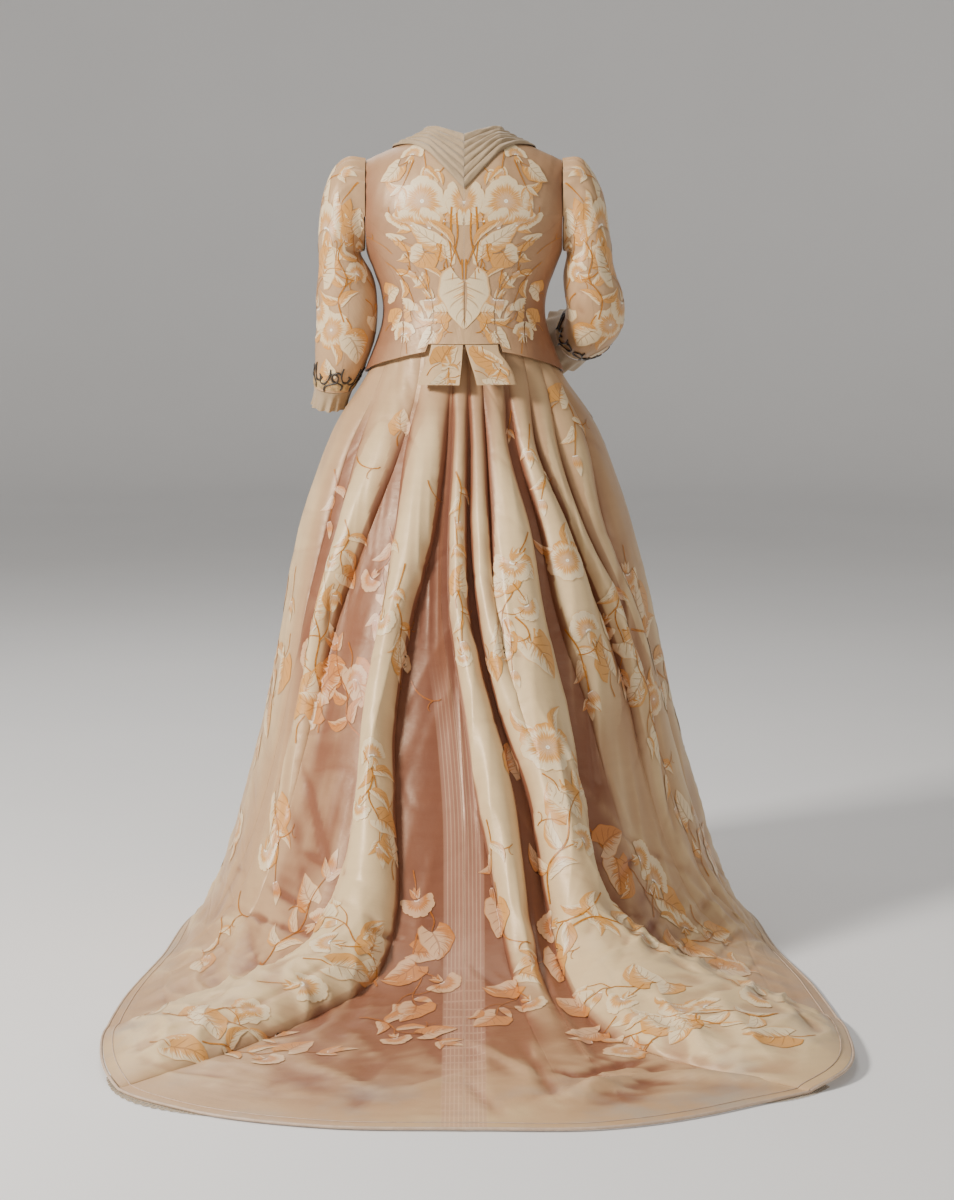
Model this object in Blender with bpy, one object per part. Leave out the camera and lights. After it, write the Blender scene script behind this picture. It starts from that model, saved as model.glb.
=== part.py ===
"""Trained dinner dress of brocaded satin: fitted back with a pleated tail, elbow sleeves, pleated
gauze collar, and a skirt that is folded into the waist and spreads into a long train.

The dress faces -Y, so its back and its train are at +Y and its left side is at +X. Heights are
measured from the floor; every piece is parented to an empty that puts the middle of the
waistband at the origin."""

import bpy
import bmesh
import numpy as np

# Driving sizes, in metres
WAIST_HEIGHT = 1.056
WAIST_HALF_WIDTH = 0.139
WAIST_HALF_DEPTH = 0.103
SKIRT_TOP = 1.045
BAND_TOP = 1.068
BAND_CLEARANCE = 0.0012
BAND_POINTS = 48
CLOTH = 0.0018
GAUZE = 0.0012
SEAM_GAP = 0.0003
HEM_CORD_RADIUS = 0.0024
HEM_CORD_SIDES = 5

# Skirt directions from centre back (place 0) round each side to centre front (place 1)
SKIRT_LEFT = (
    # place, waist_deg, hem_x, hem_y, back_share, front_share
    (0.00, 0.0, 0.000, 1.217, 1.00, 0.0),
    (0.10, 15.0, 0.200, 1.205, 1.00, 0.0),
    (0.20, 31.0, 0.395, 1.128, 1.00, 0.0),
    (0.27, 43.0, 0.506, 1.015, 0.98, 0.0),
    (0.33, 54.0, 0.543, 0.830, 0.90, 0.0),
    (0.40, 68.0, 0.542, 0.590, 0.65, 0.0),
    (0.48, 84.0, 0.506, 0.300, 0.25, 0.0),
    (0.57, 102.0, 0.482, 0.040, 0.0, 0.0),
    (0.70, 126.0, 0.400, -0.150, 0.0, 0.2),
    (0.85, 153.0, 0.225, -0.270, 0.0, 0.8),
    (1.00, 180.0, 0.000, -0.305, 0.0, 1.0),
)
SKIRT_RIGHT = (
    # place, waist_deg, hem_x, hem_y, back_share, front_share
    (0.00, 0.0, 0.000, 1.217, 1.00, 0.0),
    (0.10, 15.0, -0.200, 1.210, 1.00, 0.0),
    (0.20, 31.0, -0.395, 1.115, 1.00, 0.0),
    (0.27, 43.0, -0.552, 0.985, 0.98, 0.0),
    (0.33, 54.0, -0.580, 0.790, 0.90, 0.0),
    (0.40, 68.0, -0.568, 0.530, 0.65, 0.0),
    (0.48, 84.0, -0.532, 0.270, 0.25, 0.0),
    (0.57, 102.0, -0.508, 0.010, 0.0, 0.0),
    (0.70, 126.0, -0.415, -0.160, 0.0, 0.2),
    (0.85, 153.0, -0.230, -0.270, 0.0, 0.8),
    (1.00, 180.0, 0.000, -0.305, 0.0, 1.0),
)
# Profiles from waist (way 0) to hem (way 1): share of the run out to the hem, and height
SKIRT_PROFILES = (
    # way, back_out, back_z, side_out, side_z, front_out, front_z
    (0.00, 0.000, SKIRT_TOP, 0.000, SKIRT_TOP, 0.00, SKIRT_TOP),
    (0.04, 0.012, 0.998, 0.045, 0.998, 0.06, 0.998),
    (0.07, 0.028, 0.955, 0.115, 0.955, 0.14, 0.955),
    (0.11, 0.052, 0.900, 0.215, 0.900, 0.24, 0.900),
    (0.20, 0.115, 0.760, 0.350, 0.775, 0.40, 0.775),
    (0.30, 0.175, 0.600, 0.445, 0.645, 0.52, 0.645),
    (0.40, 0.240, 0.440, 0.520, 0.515, 0.62, 0.515),
    (0.50, 0.305, 0.290, 0.600, 0.385, 0.70, 0.385),
    (0.60, 0.375, 0.155, 0.690, 0.265, 0.78, 0.265),
    (0.70, 0.470, 0.060, 0.770, 0.165, 0.84, 0.165),
    (0.80, 0.620, 0.022, 0.840, 0.090, 0.90, 0.085),
    (0.90, 0.810, 0.0100, 0.920, 0.035, 0.96, 0.030),
    (1.00, 1.000, 0.0050, 1.000, 0.0075, 1.00, 0.0085),
)

# Lines that bound the skirt's folds: place of each line at these ways down the skirt
WAYS = (0.0, 0.07, 0.14, 0.23, 0.30, 0.40, 0.50, 0.60, 0.70, 0.82, 0.92, 1.0)
LINES = {
    "front_left": (0.700,) * 12,
    "side_left": (0.580,) * 12,
    "b": (0.385, 0.385, 0.413, 0.423, 0.435, 0.440, 0.445, 0.450, 0.460, 0.470, 0.480, 0.485),
    "c": (0.368, 0.368, 0.385, 0.390, 0.400, 0.407, 0.412, 0.420, 0.430, 0.440, 0.450, 0.455),
    "d": (0.200, 0.200, 0.225, 0.288, 0.332, 0.355, 0.368, 0.378, 0.385, 0.400, 0.415, 0.420),
    "e": (0.182, 0.182, 0.207, 0.205, 0.208, 0.210, 0.205, 0.215, 0.248, 0.312, 0.345, 0.360),
    "f": (0.060, 0.060, 0.062, 0.085, 0.122, 0.145, 0.130, 0.108, 0.118, 0.183, 0.230, 0.260),
    "centre_back": (0.051, 0.051, 0.052, 0.062, 0.058, 0.022, 0.003, 0.0, 0.0, 0.0, 0.0, 0.0),
    "g": (0.044, 0.044, 0.042, 0.048, 0.040, 0.004, -0.027, -0.052, -0.066, -0.075, -0.08, -0.08),
    "h": (-0.016, -0.016, -0.014, -0.010, -0.014, -0.062, -0.098, -0.104, -0.108, -0.115, -0.12, -0.12),
    "i": (-0.026, -0.026, -0.022, -0.018, -0.032, -0.074, -0.124, -0.132, -0.139, -0.150, -0.20, -0.24),
    "j": (-0.080, -0.080, -0.078, -0.075, -0.076, -0.110, -0.150, -0.160, -0.170, -0.190, -0.235, -0.27),
    "k": (-0.172, -0.172, -0.160, -0.198, -0.204, -0.224, -0.224, -0.228, -0.275, -0.330, -0.345, -0.36),
    "l": (-0.190, -0.190, -0.190, -0.222, -0.230, -0.262, -0.280, -0.300, -0.330, -0.370, -0.385, -0.40),
    "m": (-0.275, -0.275, -0.255, -0.305, -0.348, -0.385, -0.392, -0.400, -0.410, -0.425, -0.435, -0.44),
    "n": (-0.360, -0.360, -0.340, -0.360, -0.403, -0.430, -0.445, -0.455, -0.460, -0.470, -0.475, -0.48),
    "o": (-0.445, -0.445, -0.443, -0.425, -0.450, -0.490, -0.510, -0.515, -0.520, -0.520, -0.520, -0.52),
    "side_right": (-0.600,) * 12,
    "front_right": (-0.700,) * 12,
}
# Folds between two of those lines, and their height in millimetres at the same ways
FOLDS = (
    # left_line, right_line, peak, heights
    ("side_left", "b", 0.45, (2, 2, 7, 14, 12, 8, 6, 6, 4, 3, 3, 2)),
    ("c", "d", 0.50, (2, 4, 17, 30, 30, 16, 6, 4, 4, 3, 2, 0)),
    ("e", "f", 0.55, (2, 5, 18, 34, 44, 50, 52, 56, 58, 50, 38, 12)),
    ("g", "h", 0.50, (2, 5, 14, 22, 26, 32, 36, 34, 18, 4, 0, 0)),
    ("i", "j", 0.50, (2, 4, 12, 17, 16, 6, 0, 0, 0, 0, 0, 0)),
    ("j", "k", 0.55, (2, 5, 14, 25, 26, 10, 0, 0, 0, 0, 0, 0)),
    ("i", "k", 0.45, (0, 0, 0, 4, 15, 36, 54, 60, 60, 52, 40, 14)),
    ("l", "m", 0.45, (2, 5, 17, 28, 32, 18, 4, 0, 0, 0, 0, 0)),
    ("m", "n", 0.50, (2, 4, 13, 21, 26, 24, 12, 8, 6, 4, 2, 0)),
    ("n", "o", 0.50, (2, 4, 10, 14, 14, 12, 10, 8, 6, 4, 2, 0)),
    ("o", "side_right", 0.50, (2, 3, 6, 10, 12, 12, 10, 10, 8, 6, 4, 2)),
)
FOLD_STEEPNESS = 0.75
FRONT_FLUTES = 4
FRONT_FLUTE_DEPTH = 0.007
# Points across each strip between neighbouring lines, in the order of LINES
STRIP_POINTS = (2, 3, 1, 5, 2, 7, 3, 2, 4, 1, 3, 5, 1, 4, 3, 4, 3, 2)
SKIRT_ROWS = (0, 0.035, 0.07, 0.11, 0.16, 0.22, 0.29, 0.36, 0.43, 0.50, 0.57, 0.64, 0.70, 0.76)
SKIRT_ROWS += (0.82, 0.88, 0.94, 1.0)
FRONT_POINTS = 8
SKIRT_PANELS = (
    # name, first_line, last_line
    ("skirt_side_left", "front_left", "b"),
    ("skirt_back_outer_left", "b", "e"),
    ("skirt_back_inner_left", "e", "centre_back"),
    ("skirt_back_inner_right", "centre_back", "k"),
    ("skirt_back_outer_right", "k", "o"),
    ("skirt_side_right", "o", "front_right"),
)

# Bodice: half width, depth of the back and of the front at each height
TORSO = (
    # z, half_width, back, front
    (0.960, 0.1800, 0.152, 0.142),
    (0.985, 0.1710, 0.140, 0.132),
    (1.010, 0.1610, 0.129, 0.124),
    (1.035, 0.1515, 0.1195, 0.117),
    (1.060, 0.1440, 0.1120, 0.112),
    (1.085, 0.1415, 0.1070, 0.111),
    (1.120, 0.1465, 0.1055, 0.117),
    (1.155, 0.1590, 0.1080, 0.131),
    (1.190, 0.1725, 0.1120, 0.143),
    (1.220, 0.1810, 0.1145, 0.143),
    (1.245, 0.1870, 0.1150, 0.137),
)
CHEST_HEIGHT = 1.245
NECK_TOP = 1.390
NECK_HALF_WIDTH = 0.060
SHOULDER_TOP = 1.341
ARMHOLE_X = 0.170
# Seams of the bodice, as angles round it from centre back
SEAM_ANGLES = (
    # z, back_seam, side_back_seam
    (0.960, 28.0, 41.0),
    (1.018, 24.5, 43.0),
    (1.050, 22.0, 45.0),
    (1.082, 21.5, 48.0),
    (1.131, 26.0, 50.0),
    (1.165, 33.0, 55.0),
    (1.190, 40.0, 64.0),
    (1.210, 48.0, 71.8),
    (1.230, 58.0, 72.0),
    (1.245, 64.9, 72.0),
)
SIDE_SEAM = 92.0
BACK_POINTS = 6
SIDE_BACK_POINTS = 4
SIDE_POINTS = 5
BODICE_FRONT_POINTS = 10
TAIL_TOP = 1.028
PEPLUM_HEM = (
    # angle, z
    (0.0, 1.018),
    (24.0, 1.015),
    (50.0, 1.000),
    (90.0, 0.976),
    (140.0, 0.972),
    (180.0, 0.958),
)
# Heights of the rows of points up the body, then shares of the way from the chest to the shoulder
BODY_ROWS = (1.035, 1.06, 1.085, 1.115, 1.145, 1.17, 1.19, 1.21, 1.23, 1.245)
SHOULDER_ROWS = (0.2, 0.4, 0.6, 0.8, 0.93, 1.0)
SIDE_PANEL_TOP = 1.215
NECK_BACK_WAY = 0.66
NECK_FRONT_WAY = 1.93

# Tail: pleated ends of the back below the waist, outer edge to left and right
TAIL_ROWS = (
    # down, left_vent, left_edge, right_vent, right_edge, stand_off, spacing
    (0.000, 0.002, 0.056, -0.002, -0.0585, 0.0004, 0.0026),
    (0.014, 0.003, 0.059, -0.006, -0.0615, 0.0020, 0.0034),
    (0.030, 0.004, 0.065, -0.011, -0.0740, 0.0055, 0.0044),
    (0.048, 0.006, 0.073, -0.017, -0.0840, 0.0105, 0.0056),
    (0.066, 0.008, 0.080, -0.022, -0.0890, 0.0165, 0.0064),
)
TAIL_UNDERLAP = 0.044
TAIL_INNER_STEP = 0.004
TAIL_SEAM_DROP = 0.0011
TAIL_CLOTH = 0.0010
TAIL_TURN_DEG = (-45.0, 0.0, 45.0)
TAIL_TOP_POINTS = 6
TAIL_UNDER_POINTS = 4

# Sleeves: the head turns about the armpit, then the arm goes on through its sections
ARMPIT_Z = 1.178
ARMPIT_X = 0.1706
ARMPIT_INSET = 0.008
HEAD_SHIFT = (-0.003, 0.003)
HEAD_LEFT = (
    # turn_deg, reach, half_depth
    (0.0, 0.163, 0.052),
    (11.0, 0.167, 0.053),
    (22.0, 0.154, 0.055),
    (38.0, 0.121, 0.056),
    (63.0, 0.093, 0.055),
    (90.0, 0.082, 0.055),
)
HEAD_RIGHT = (
    # turn_deg, reach, half_depth
    (0.0, 0.163, 0.052),
    (10.0, 0.166, 0.053),
    (19.0, 0.153, 0.055),
    (33.0, 0.127, 0.056),
    (60.0, 0.095, 0.055),
    (90.0, 0.087, 0.055),
)
ARM_LEFT = (
    # x, y, z, along_x, along_y, along_z, half_width, half_depth
    (0.2065, 0.004, 1.146, 0.0, -0.05, -1.0, 0.0475, 0.0550),
    (0.2045, 0.003, 1.108, 0.0, -0.05, -1.0, 0.0525, 0.0555),
    (0.2045, 0.000, 1.062, 0.0, -0.12, -1.0, 0.0530, 0.0545),
    (0.2110, -0.007, 1.014, 0.05, -0.20, -1.0, 0.0485, 0.0505),
    (0.2210, -0.017, 0.975, 0.05, -0.25, -1.0, 0.0410, 0.0455),
    (0.2285, -0.023, 0.948, 0.05, -0.25, -1.0, 0.0345, 0.0420),
)
ARM_RIGHT = (
    # x, y, z, along_x, along_y, along_z, half_width, half_depth
    (-0.2180, 0.002, 1.148, 0.0, -0.05, -1.0, 0.0460, 0.0550),
    (-0.2250, 0.000, 1.116, 0.0, -0.15, -1.0, 0.0500, 0.0550),
    (-0.2300, -0.008, 1.086, 0.05, -0.45, -0.9, 0.0510, 0.0530),
    (-0.2270, -0.027, 1.060, 0.20, -0.80, -0.6, 0.0500, 0.0510),
    (-0.2160, -0.052, 1.045, 0.35, -0.90, -0.35, 0.0475, 0.0495),
    (-0.2030, -0.078, 1.036, 0.42, -0.88, -0.25, 0.0445, 0.0470),
)
CUFF_LEFT = (
    # x, y, z, along_x, along_y, along_z, half_width, half_depth
    (0.2286, -0.0232, 0.9472, 0.05, -0.25, -1.0, 0.0342, 0.0418),
    (0.2320, -0.0260, 0.9360, 0.05, -0.25, -1.0, 0.0320, 0.0410),
    (0.2355, -0.0290, 0.9240, 0.05, -0.25, -1.0, 0.0305, 0.0415),
    (0.2380, -0.0310, 0.9150, 0.05, -0.25, -1.0, 0.0305, 0.0425),
)
CUFF_RIGHT = (
    # x, y, z, along_x, along_y, along_z, half_width, half_depth
    (-0.2027, -0.0788, 1.0358, 0.42, -0.88, -0.25, 0.0445, 0.0470),
    (-0.1940, -0.0960, 1.0310, 0.42, -0.88, -0.25, 0.0455, 0.0500),
    (-0.1850, -0.1130, 1.0260, 0.42, -0.88, -0.25, 0.0470, 0.0540),
    (-0.1770, -0.1280, 1.0220, 0.42, -0.88, -0.25, 0.0485, 0.0570),
)
SLEEVE_SEAMS = (-105.0, 95.0)
UPPER_POINTS = 14
UNDER_POINTS = 9
HEAD_GATHERS = 12
HEAD_GATHER_DEPTH = 0.0022
HEAD_GATHER_SECTIONS = 5
CUFF_WAVES = 12
CUFF_WAVE_DEPTH = 0.0030
POINTS_PER_WAVE = 4
SLEEVE_CLEARANCE = 0.0012

# Gauze collar: its inner and outer edge, as angle round the body and way over the shoulder
COLLAR = (
    # along, inner_angle, inner_way, outer_angle, outer_way
    (0.00, 0.0, 0.73, 0.0, 0.20),
    (0.17, 6.0, 0.80, 14.0, 0.44),
    (0.33, 12.5, 0.90, 28.0, 0.72),
    (0.50, 18.5, 1.02, 41.0, 1.02),
    (0.67, 15.0, 1.30, 37.0, 1.50),
    (0.84, 8.0, 1.65, 20.0, 2.00),
    (1.00, 0.0, 1.96, 0.0, 2.45),
)
COLLAR_PLEATS = 6
COLLAR_PLEAT_DEPTH = 0.0030
COLLAR_STAND = 0.0060
COLLAR_STAND_WIDTH = 0.35
COLLAR_ROWS = 15
COLLAR_LIFT = 0.0013

# Dust ruffle: scraps of its lace edge that show beyond the hem of the train
RUFFLE_SPANS = (
    # name, first_place, last_place, reach
    ("dust_ruffle_left", 0.180, 0.285, 0.022),
    ("dust_ruffle_right", -0.255, -0.210, 0.012),
)
RUFFLE_THICKNESS = 0.0010
RUFFLE_FLOOR = 0.0004
RUFFLE_WAVES = 7
RUFFLE_UNDER_HEM = 0.012

# Colour and roughness of each cloth
SATIN = (0.61, 0.45, 0.34, 0.42)
BROCADE = (0.66, 0.50, 0.36, 0.40)
GAUZE_LOOK = (0.38, 0.30, 0.20, 0.80)
LACE = (0.48, 0.38, 0.27, 0.80)


def column(table, index):
    return np.array([row[index] for row in table], float)


def curve(at, keys, values):
    """A smooth curve through values at ascending keys."""
    keys = np.asarray(keys, float)
    values = np.asarray(values, float)
    slopes = np.gradient(values, keys)
    at = np.clip(np.asarray(at, float), keys[0], keys[-1])
    i = np.clip(np.searchsorted(keys, at, side="right") - 1, 0, len(keys) - 2)
    step = keys[i + 1] - keys[i]
    u = (at - keys[i]) / step
    start = values[i] * (1 + 2 * u) * (1 - u) ** 2 + slopes[i] * step * u * (1 - u) ** 2
    end = values[i + 1] * u**2 * (3 - 2 * u) - slopes[i + 1] * step * u**2 * (1 - u)
    return start + end


def unit(vectors):
    lengths = np.linalg.norm(vectors, axis=-1, keepdims=True)
    return vectors / np.maximum(lengths, 1e-12)


# Skirt


def by_side(place, index):
    left = curve(np.abs(place), column(SKIRT_LEFT, 0), column(SKIRT_LEFT, index))
    right = curve(np.abs(place), column(SKIRT_RIGHT, 0), column(SKIRT_RIGHT, index))
    return np.where(place >= 0, left, right)


def profile(way, index):
    return curve(way, column(SKIRT_PROFILES, 0), column(SKIRT_PROFILES, index))


def skirt_base(place, way):
    """Points of the skirt without its folds."""
    angle = np.radians(by_side(place, 1)) * np.sign(place)
    waist_x = WAIST_HALF_WIDTH * np.sin(angle)
    waist_y = WAIST_HALF_DEPTH * np.cos(angle)
    back = np.clip(by_side(place, 4), 0, 1)
    front = np.clip(by_side(place, 5), 0, 1)
    side = 1 - back - front
    out = back * profile(way, 1) + side * profile(way, 3) + front * profile(way, 5)
    z = back * profile(way, 2) + side * profile(way, 4) + front * profile(way, 6)
    x = waist_x + (by_side(place, 2) - waist_x) * out
    y = waist_y + (by_side(place, 3) - waist_y) * out
    return np.stack([x, y, z], axis=-1)


def skirt_normal(place, way):
    """Direction out of the unfolded skirt."""
    small = 0.01
    across = skirt_base(place + small, way) - skirt_base(place - small, way)
    low = np.clip(way - small, 0, 1)
    high = np.clip(way + small, 0, 1)
    down = skirt_base(place, high) - skirt_base(place, low)
    return unit(np.cross(across, down))


def line_place(name, way):
    return curve(way, WAYS, LINES[name])


def fold_height(place, way):
    """How far the folds stand out from the unfolded skirt."""
    height = np.zeros_like(place)
    for left, right, peak, heights in FOLDS:
        first = line_place(left, way)
        last = line_place(right, way)
        across = np.clip((first - place) / (first - last), 0, 1)
        skewed = across ** (np.log(0.5) / np.log(peak))
        bump = (4 * skewed * (1 - skewed)) ** FOLD_STEEPNESS
        height += np.clip(curve(way, WAYS, heights), 0, None) * 0.001 * bump
    turn = np.clip((np.abs(place) - 0.6) / 0.4, 0, 1) * FRONT_FLUTES * np.pi
    return height + FRONT_FLUTE_DEPTH * way**0.7 * np.sin(turn) ** 2


def skirt_point(place, way):
    return skirt_base(place, way) + skirt_normal(place, way) * fold_height(place, way)[..., None]


def strip_places(first, last, count):
    """Places of the points inside a strip, closer together near its edges."""
    share = 0.5 - 0.5 * np.cos(np.pi * np.arange(1, count + 1) / (count + 1))
    return [first + (last - first) * s for s in share]


def skirt_columns(way):
    """Places of every column of points at one way, with the column where each line runs."""
    names = list(LINES)
    columns = []
    at_line = {}
    for name, following, count in zip(names, names[1:] + [None], STRIP_POINTS + (None,)):
        at_line[name] = len(columns)
        columns.append(line_place(name, way))
        if following:
            columns += strip_places(columns[-1], line_place(following, way), count)
    front = 2 + LINES["front_right"][0] - LINES["front_left"][0]
    far = np.linspace(0, front, FRONT_POINTS + 2)[1:-1]
    for step in LINES["front_right"][0] - far:
        columns.append(step if step > -1 else step + 2)
    return np.array(columns), at_line


def skirt_grid():
    """Points of the whole skirt by row and column, with the column of each line."""
    rows = []
    for way in SKIRT_ROWS:
        places, at_line = skirt_columns(way)
        rows.append(skirt_point(places, np.full_like(places, way)))
    return np.array(rows), at_line


def grid_normals(points, wrap):
    """Unit normals at the points of a grid, from the points around them."""
    if wrap:
        across = np.roll(points, -1, axis=1) - np.roll(points, 1, axis=1)
    else:
        across = np.gradient(points, axis=1)
    down = np.gradient(points, axis=0)
    return unit(np.cross(down, across))


def facing(normals, outward):
    """The same normals, each turned to the side that outward points to."""
    return normals * np.where(np.sum(normals * outward, axis=-1, keepdims=True) < 0, -1, 1)


# Bodice


def torso(angle, way):
    """A point of the bodice. Angle 0 is centre back. Way 0 is chest height at the back, 1 the
    shoulder, 2 chest height at the front; below 0 and above 2 it goes on down to the hem."""
    angle = np.radians(np.asarray(angle, float))
    way = np.asarray(way, float)
    over = np.clip(way, 0, 2) * np.pi / 2
    below = np.where(way < 0, -way, np.where(way > 2, way - 2, 0))
    z_low = CHEST_HEIGHT - below * (NECK_TOP - CHEST_HEIGHT)
    half_width = curve(z_low, column(TORSO, 0), column(TORSO, 1))
    back = curve(z_low, column(TORSO, 0), column(TORSO, 2))
    front = curve(z_low, column(TORSO, 0), column(TORSO, 3))
    x = half_width * np.sin(angle)
    slope = (SHOULDER_TOP - NECK_TOP) / (ARMHOLE_X - NECK_HALF_WIDTH)
    top = NECK_TOP + slope * np.clip(np.abs(x) - NECK_HALF_WIDTH, 0, None)
    z = np.where(below > 0, z_low, CHEST_HEIGHT + (top - CHEST_HEIGHT) * np.sin(over))
    depth = np.where(np.cos(angle) * np.cos(over) >= 0, back, front)
    y = depth * np.cos(angle) * np.cos(over)
    return np.stack([x, y, z], axis=-1)


def way_of_height(z):
    return (z - CHEST_HEIGHT) / (NECK_TOP - CHEST_HEIGHT)


def ring(angle, z):
    """A point of the bodice at or below chest height, at an angle from 0 at the back to 180."""
    return torso(angle, np.minimum(way_of_height(z), 0))


def torso_normal(angle, way):
    small = 0.01
    across = torso(angle + small * 50, way) - torso(angle - small * 50, way)
    up = torso(angle, way + small) - torso(angle, way - small)
    normal = unit(np.cross(across, up))
    point = torso(angle, way)
    outward = point - np.array([0, 0, 1.2])
    outward[..., 2] *= 0.6
    return facing(normal, outward)


def seam_angle(index, z):
    return curve(z, column(SEAM_ANGLES, 0), column(SEAM_ANGLES, index))


def hem_height(angle):
    return curve(angle, column(PEPLUM_HEM, 0), column(PEPLUM_HEM, 1))


def armhole_angle(z):
    """Angle from centre back where the armhole starts at a height; 90 below the armhole."""
    half_width = curve(z, column(TORSO, 0), column(TORSO, 1))
    return np.degrees(np.arcsin(np.clip(ARMHOLE_X / half_width, 0, 1)))


# Walls and objects


def seam_shift(points, first_row, last_row, first_column, last_column):
    """Moves the named edges of a grid inwards by half of a seam's gap."""
    moved = points.copy()
    half = SEAM_GAP / 2
    if first_column:
        moved[:, 0] += unit(points[:, 1] - points[:, 0]) * half
    if last_column:
        moved[:, -1] += unit(points[:, -2] - points[:, -1]) * half
    if first_row:
        moved[0] += unit(points[1] - points[0]) * half
    if last_row:
        moved[-1] += unit(points[-2] - points[-1]) * half
    return moved


def wall(points, normals, thickness, wrap=False):
    """Vertices and faces of a cloth wall whose outer side is the grid of points. Both sides of a
    square are cut along the same diagonal, so that they never cross."""
    rows, columns = points.shape[:2]
    inner = points - normals * thickness
    vertices = np.concatenate([points.reshape(-1, 3), inner.reshape(-1, 3)])
    offset = rows * columns
    faces = []
    spans = columns if wrap else columns - 1
    for r in range(rows - 1):
        for c in range(spans):
            d = (c + 1) % columns
            quad = [r * columns + c, r * columns + d, (r + 1) * columns + d, (r + 1) * columns + c]
            across, along = vertices[quad[0]] - vertices[quad[2]], vertices[quad[1]] - vertices[quad[3]]
            if np.dot(along, along) < np.dot(across, across):
                quad = quad[1:] + quad[:1]
            for triangle in (quad[:3], quad[2:] + quad[:1]):
                faces.append(tuple(triangle))
                faces.append(tuple(offset + i for i in reversed(triangle)))
    for c in range(spans):
        d = (c + 1) % columns
        last = (rows - 1) * columns
        faces.append((d, c, offset + c, offset + d))
        faces.append((last + c, last + d, offset + last + d, offset + last + c))
    if not wrap:
        for r in range(rows - 1):
            a, b = r * columns, (r + 1) * columns
            faces.append((a, b, offset + b, offset + a))
            a, b = a + columns - 1, b + columns - 1
            faces.append((b, a, offset + a, offset + b))
    return vertices, faces


def material(name, look):
    made = bpy.data.materials.new(name)
    made.use_nodes = True
    shader = made.node_tree.nodes["Principled BSDF"]
    shader.inputs["Base Color"].default_value = (*look[:3], 1)
    shader.inputs["Roughness"].default_value = look[3]
    shader.inputs["Metallic"].default_value = 0.0
    return made


def add_piece(name, vertices, faces, look, dress):
    mesh = bpy.data.meshes.new(name)
    mesh.from_pydata([tuple(v) for v in vertices], [], faces)
    shaped = bmesh.new()
    shaped.from_mesh(mesh)
    bmesh.ops.recalc_face_normals(shaped, faces=shaped.faces)
    shaped.to_mesh(mesh)
    shaped.free()
    mesh.shade_smooth()
    mesh.set_sharp_from_angle(angle=np.radians(50))
    mesh.materials.append(material(name, look))
    piece = bpy.data.objects.new(name, mesh)
    bpy.context.scene.collection.objects.link(piece)
    piece.parent = dress
    return piece


# Pieces


def add_skirt(dress):
    points, at_line = skirt_grid()
    normals = grid_normals(points, wrap=True)
    for name, first, last in SKIRT_PANELS:
        part = slice(at_line[first], at_line[last] + 1)
        panel = seam_shift(points[:, part], False, False, True, True)
        add_piece(name, *wall(panel, normals[:, part], CLOTH), SATIN, dress)
    front = list(range(at_line["front_right"], points.shape[1])) + [at_line["front_left"]]
    panel = seam_shift(points[:, front], False, False, True, True)
    add_piece("skirt_front", *wall(panel, normals[:, front], CLOTH), SATIN, dress)
    add_hem_cord(points, dress)


def add_hem_cord(points, dress):
    """A cord laid round the hem, just beyond the edge of the cloth."""
    middle = points[-1] - np.array([0, 0, CLOTH / 2])
    beyond = unit(points[-1] - points[-2])
    centre = middle + beyond * (HEM_CORD_RADIUS + SEAM_GAP + CLOTH * 0.35)
    lowest = RUFFLE_FLOOR + RUFFLE_THICKNESS + SEAM_GAP + HEM_CORD_RADIUS
    centre[:, 2] = np.maximum(centre[:, 2], lowest)
    along = unit(np.roll(centre, -1, axis=0) - np.roll(centre, 1, axis=0))
    out = unit(np.cross(along, np.array([0, 0, 1.0])))
    up = np.cross(out, along)
    sides = HEM_CORD_SIDES
    turn = 2 * np.pi * np.arange(sides) / sides
    rings = (
        centre[:, None]
        + out[:, None] * np.cos(turn)[None, :, None] * HEM_CORD_RADIUS
        + up[:, None] * np.sin(turn)[None, :, None] * HEM_CORD_RADIUS
    )
    count = len(centre)
    faces = []
    for i in range(count):
        j = (i + 1) % count
        for s in range(sides):
            t = (s + 1) % sides
            faces.append((i * sides + s, j * sides + s, j * sides + t, i * sides + t))
    add_piece("hem_cord", rings.reshape(-1, 3), faces, SATIN, dress)


def add_waistband(dress):
    angles = np.arange(BAND_POINTS) * 360.0 / BAND_POINTS
    rows = []
    for z in (SKIRT_TOP + SEAM_GAP, WAIST_HEIGHT, BAND_TOP):
        back = ring(np.where(angles > 180, 360 - angles, angles), np.full(len(angles), z))
        back[:, 0] *= np.where(angles > 180, -1, 1)
        rows.append(back)
    points = np.array(rows)
    normals = grid_normals(points, wrap=True)
    normals = facing(normals, points * np.array([1, 1, 0]))
    seated = points - normals * (CLOTH + BAND_CLEARANCE)
    add_piece("skirt_waistband", *wall(seated, normals, CLOTH, wrap=True), SATIN, dress)


def mirrored(points, side):
    return points * np.array([side, 1, 1])


def add_panel(name, angles, ways, side, dress, edges=(False, False, True, True)):
    """A panel of the bodice, from a grid of angles and ways."""
    points = mirrored(torso(angles, ways), side)
    normals = mirrored(torso_normal(angles, ways), side)
    panel = seam_shift(points, *edges)
    add_piece(name, *wall(panel, normals, CLOTH), BROCADE, dress)


def body_angles(rows, first, last, count):
    """Angles of a panel's points: at every row, evenly spread from its first to its last edge."""
    share = np.linspace(0, 1, count)
    first = np.broadcast_to(first, rows.shape)[:, None]
    last = np.broadcast_to(last, rows.shape)[:, None]
    return first + (last - first) * share[None, :]


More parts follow.
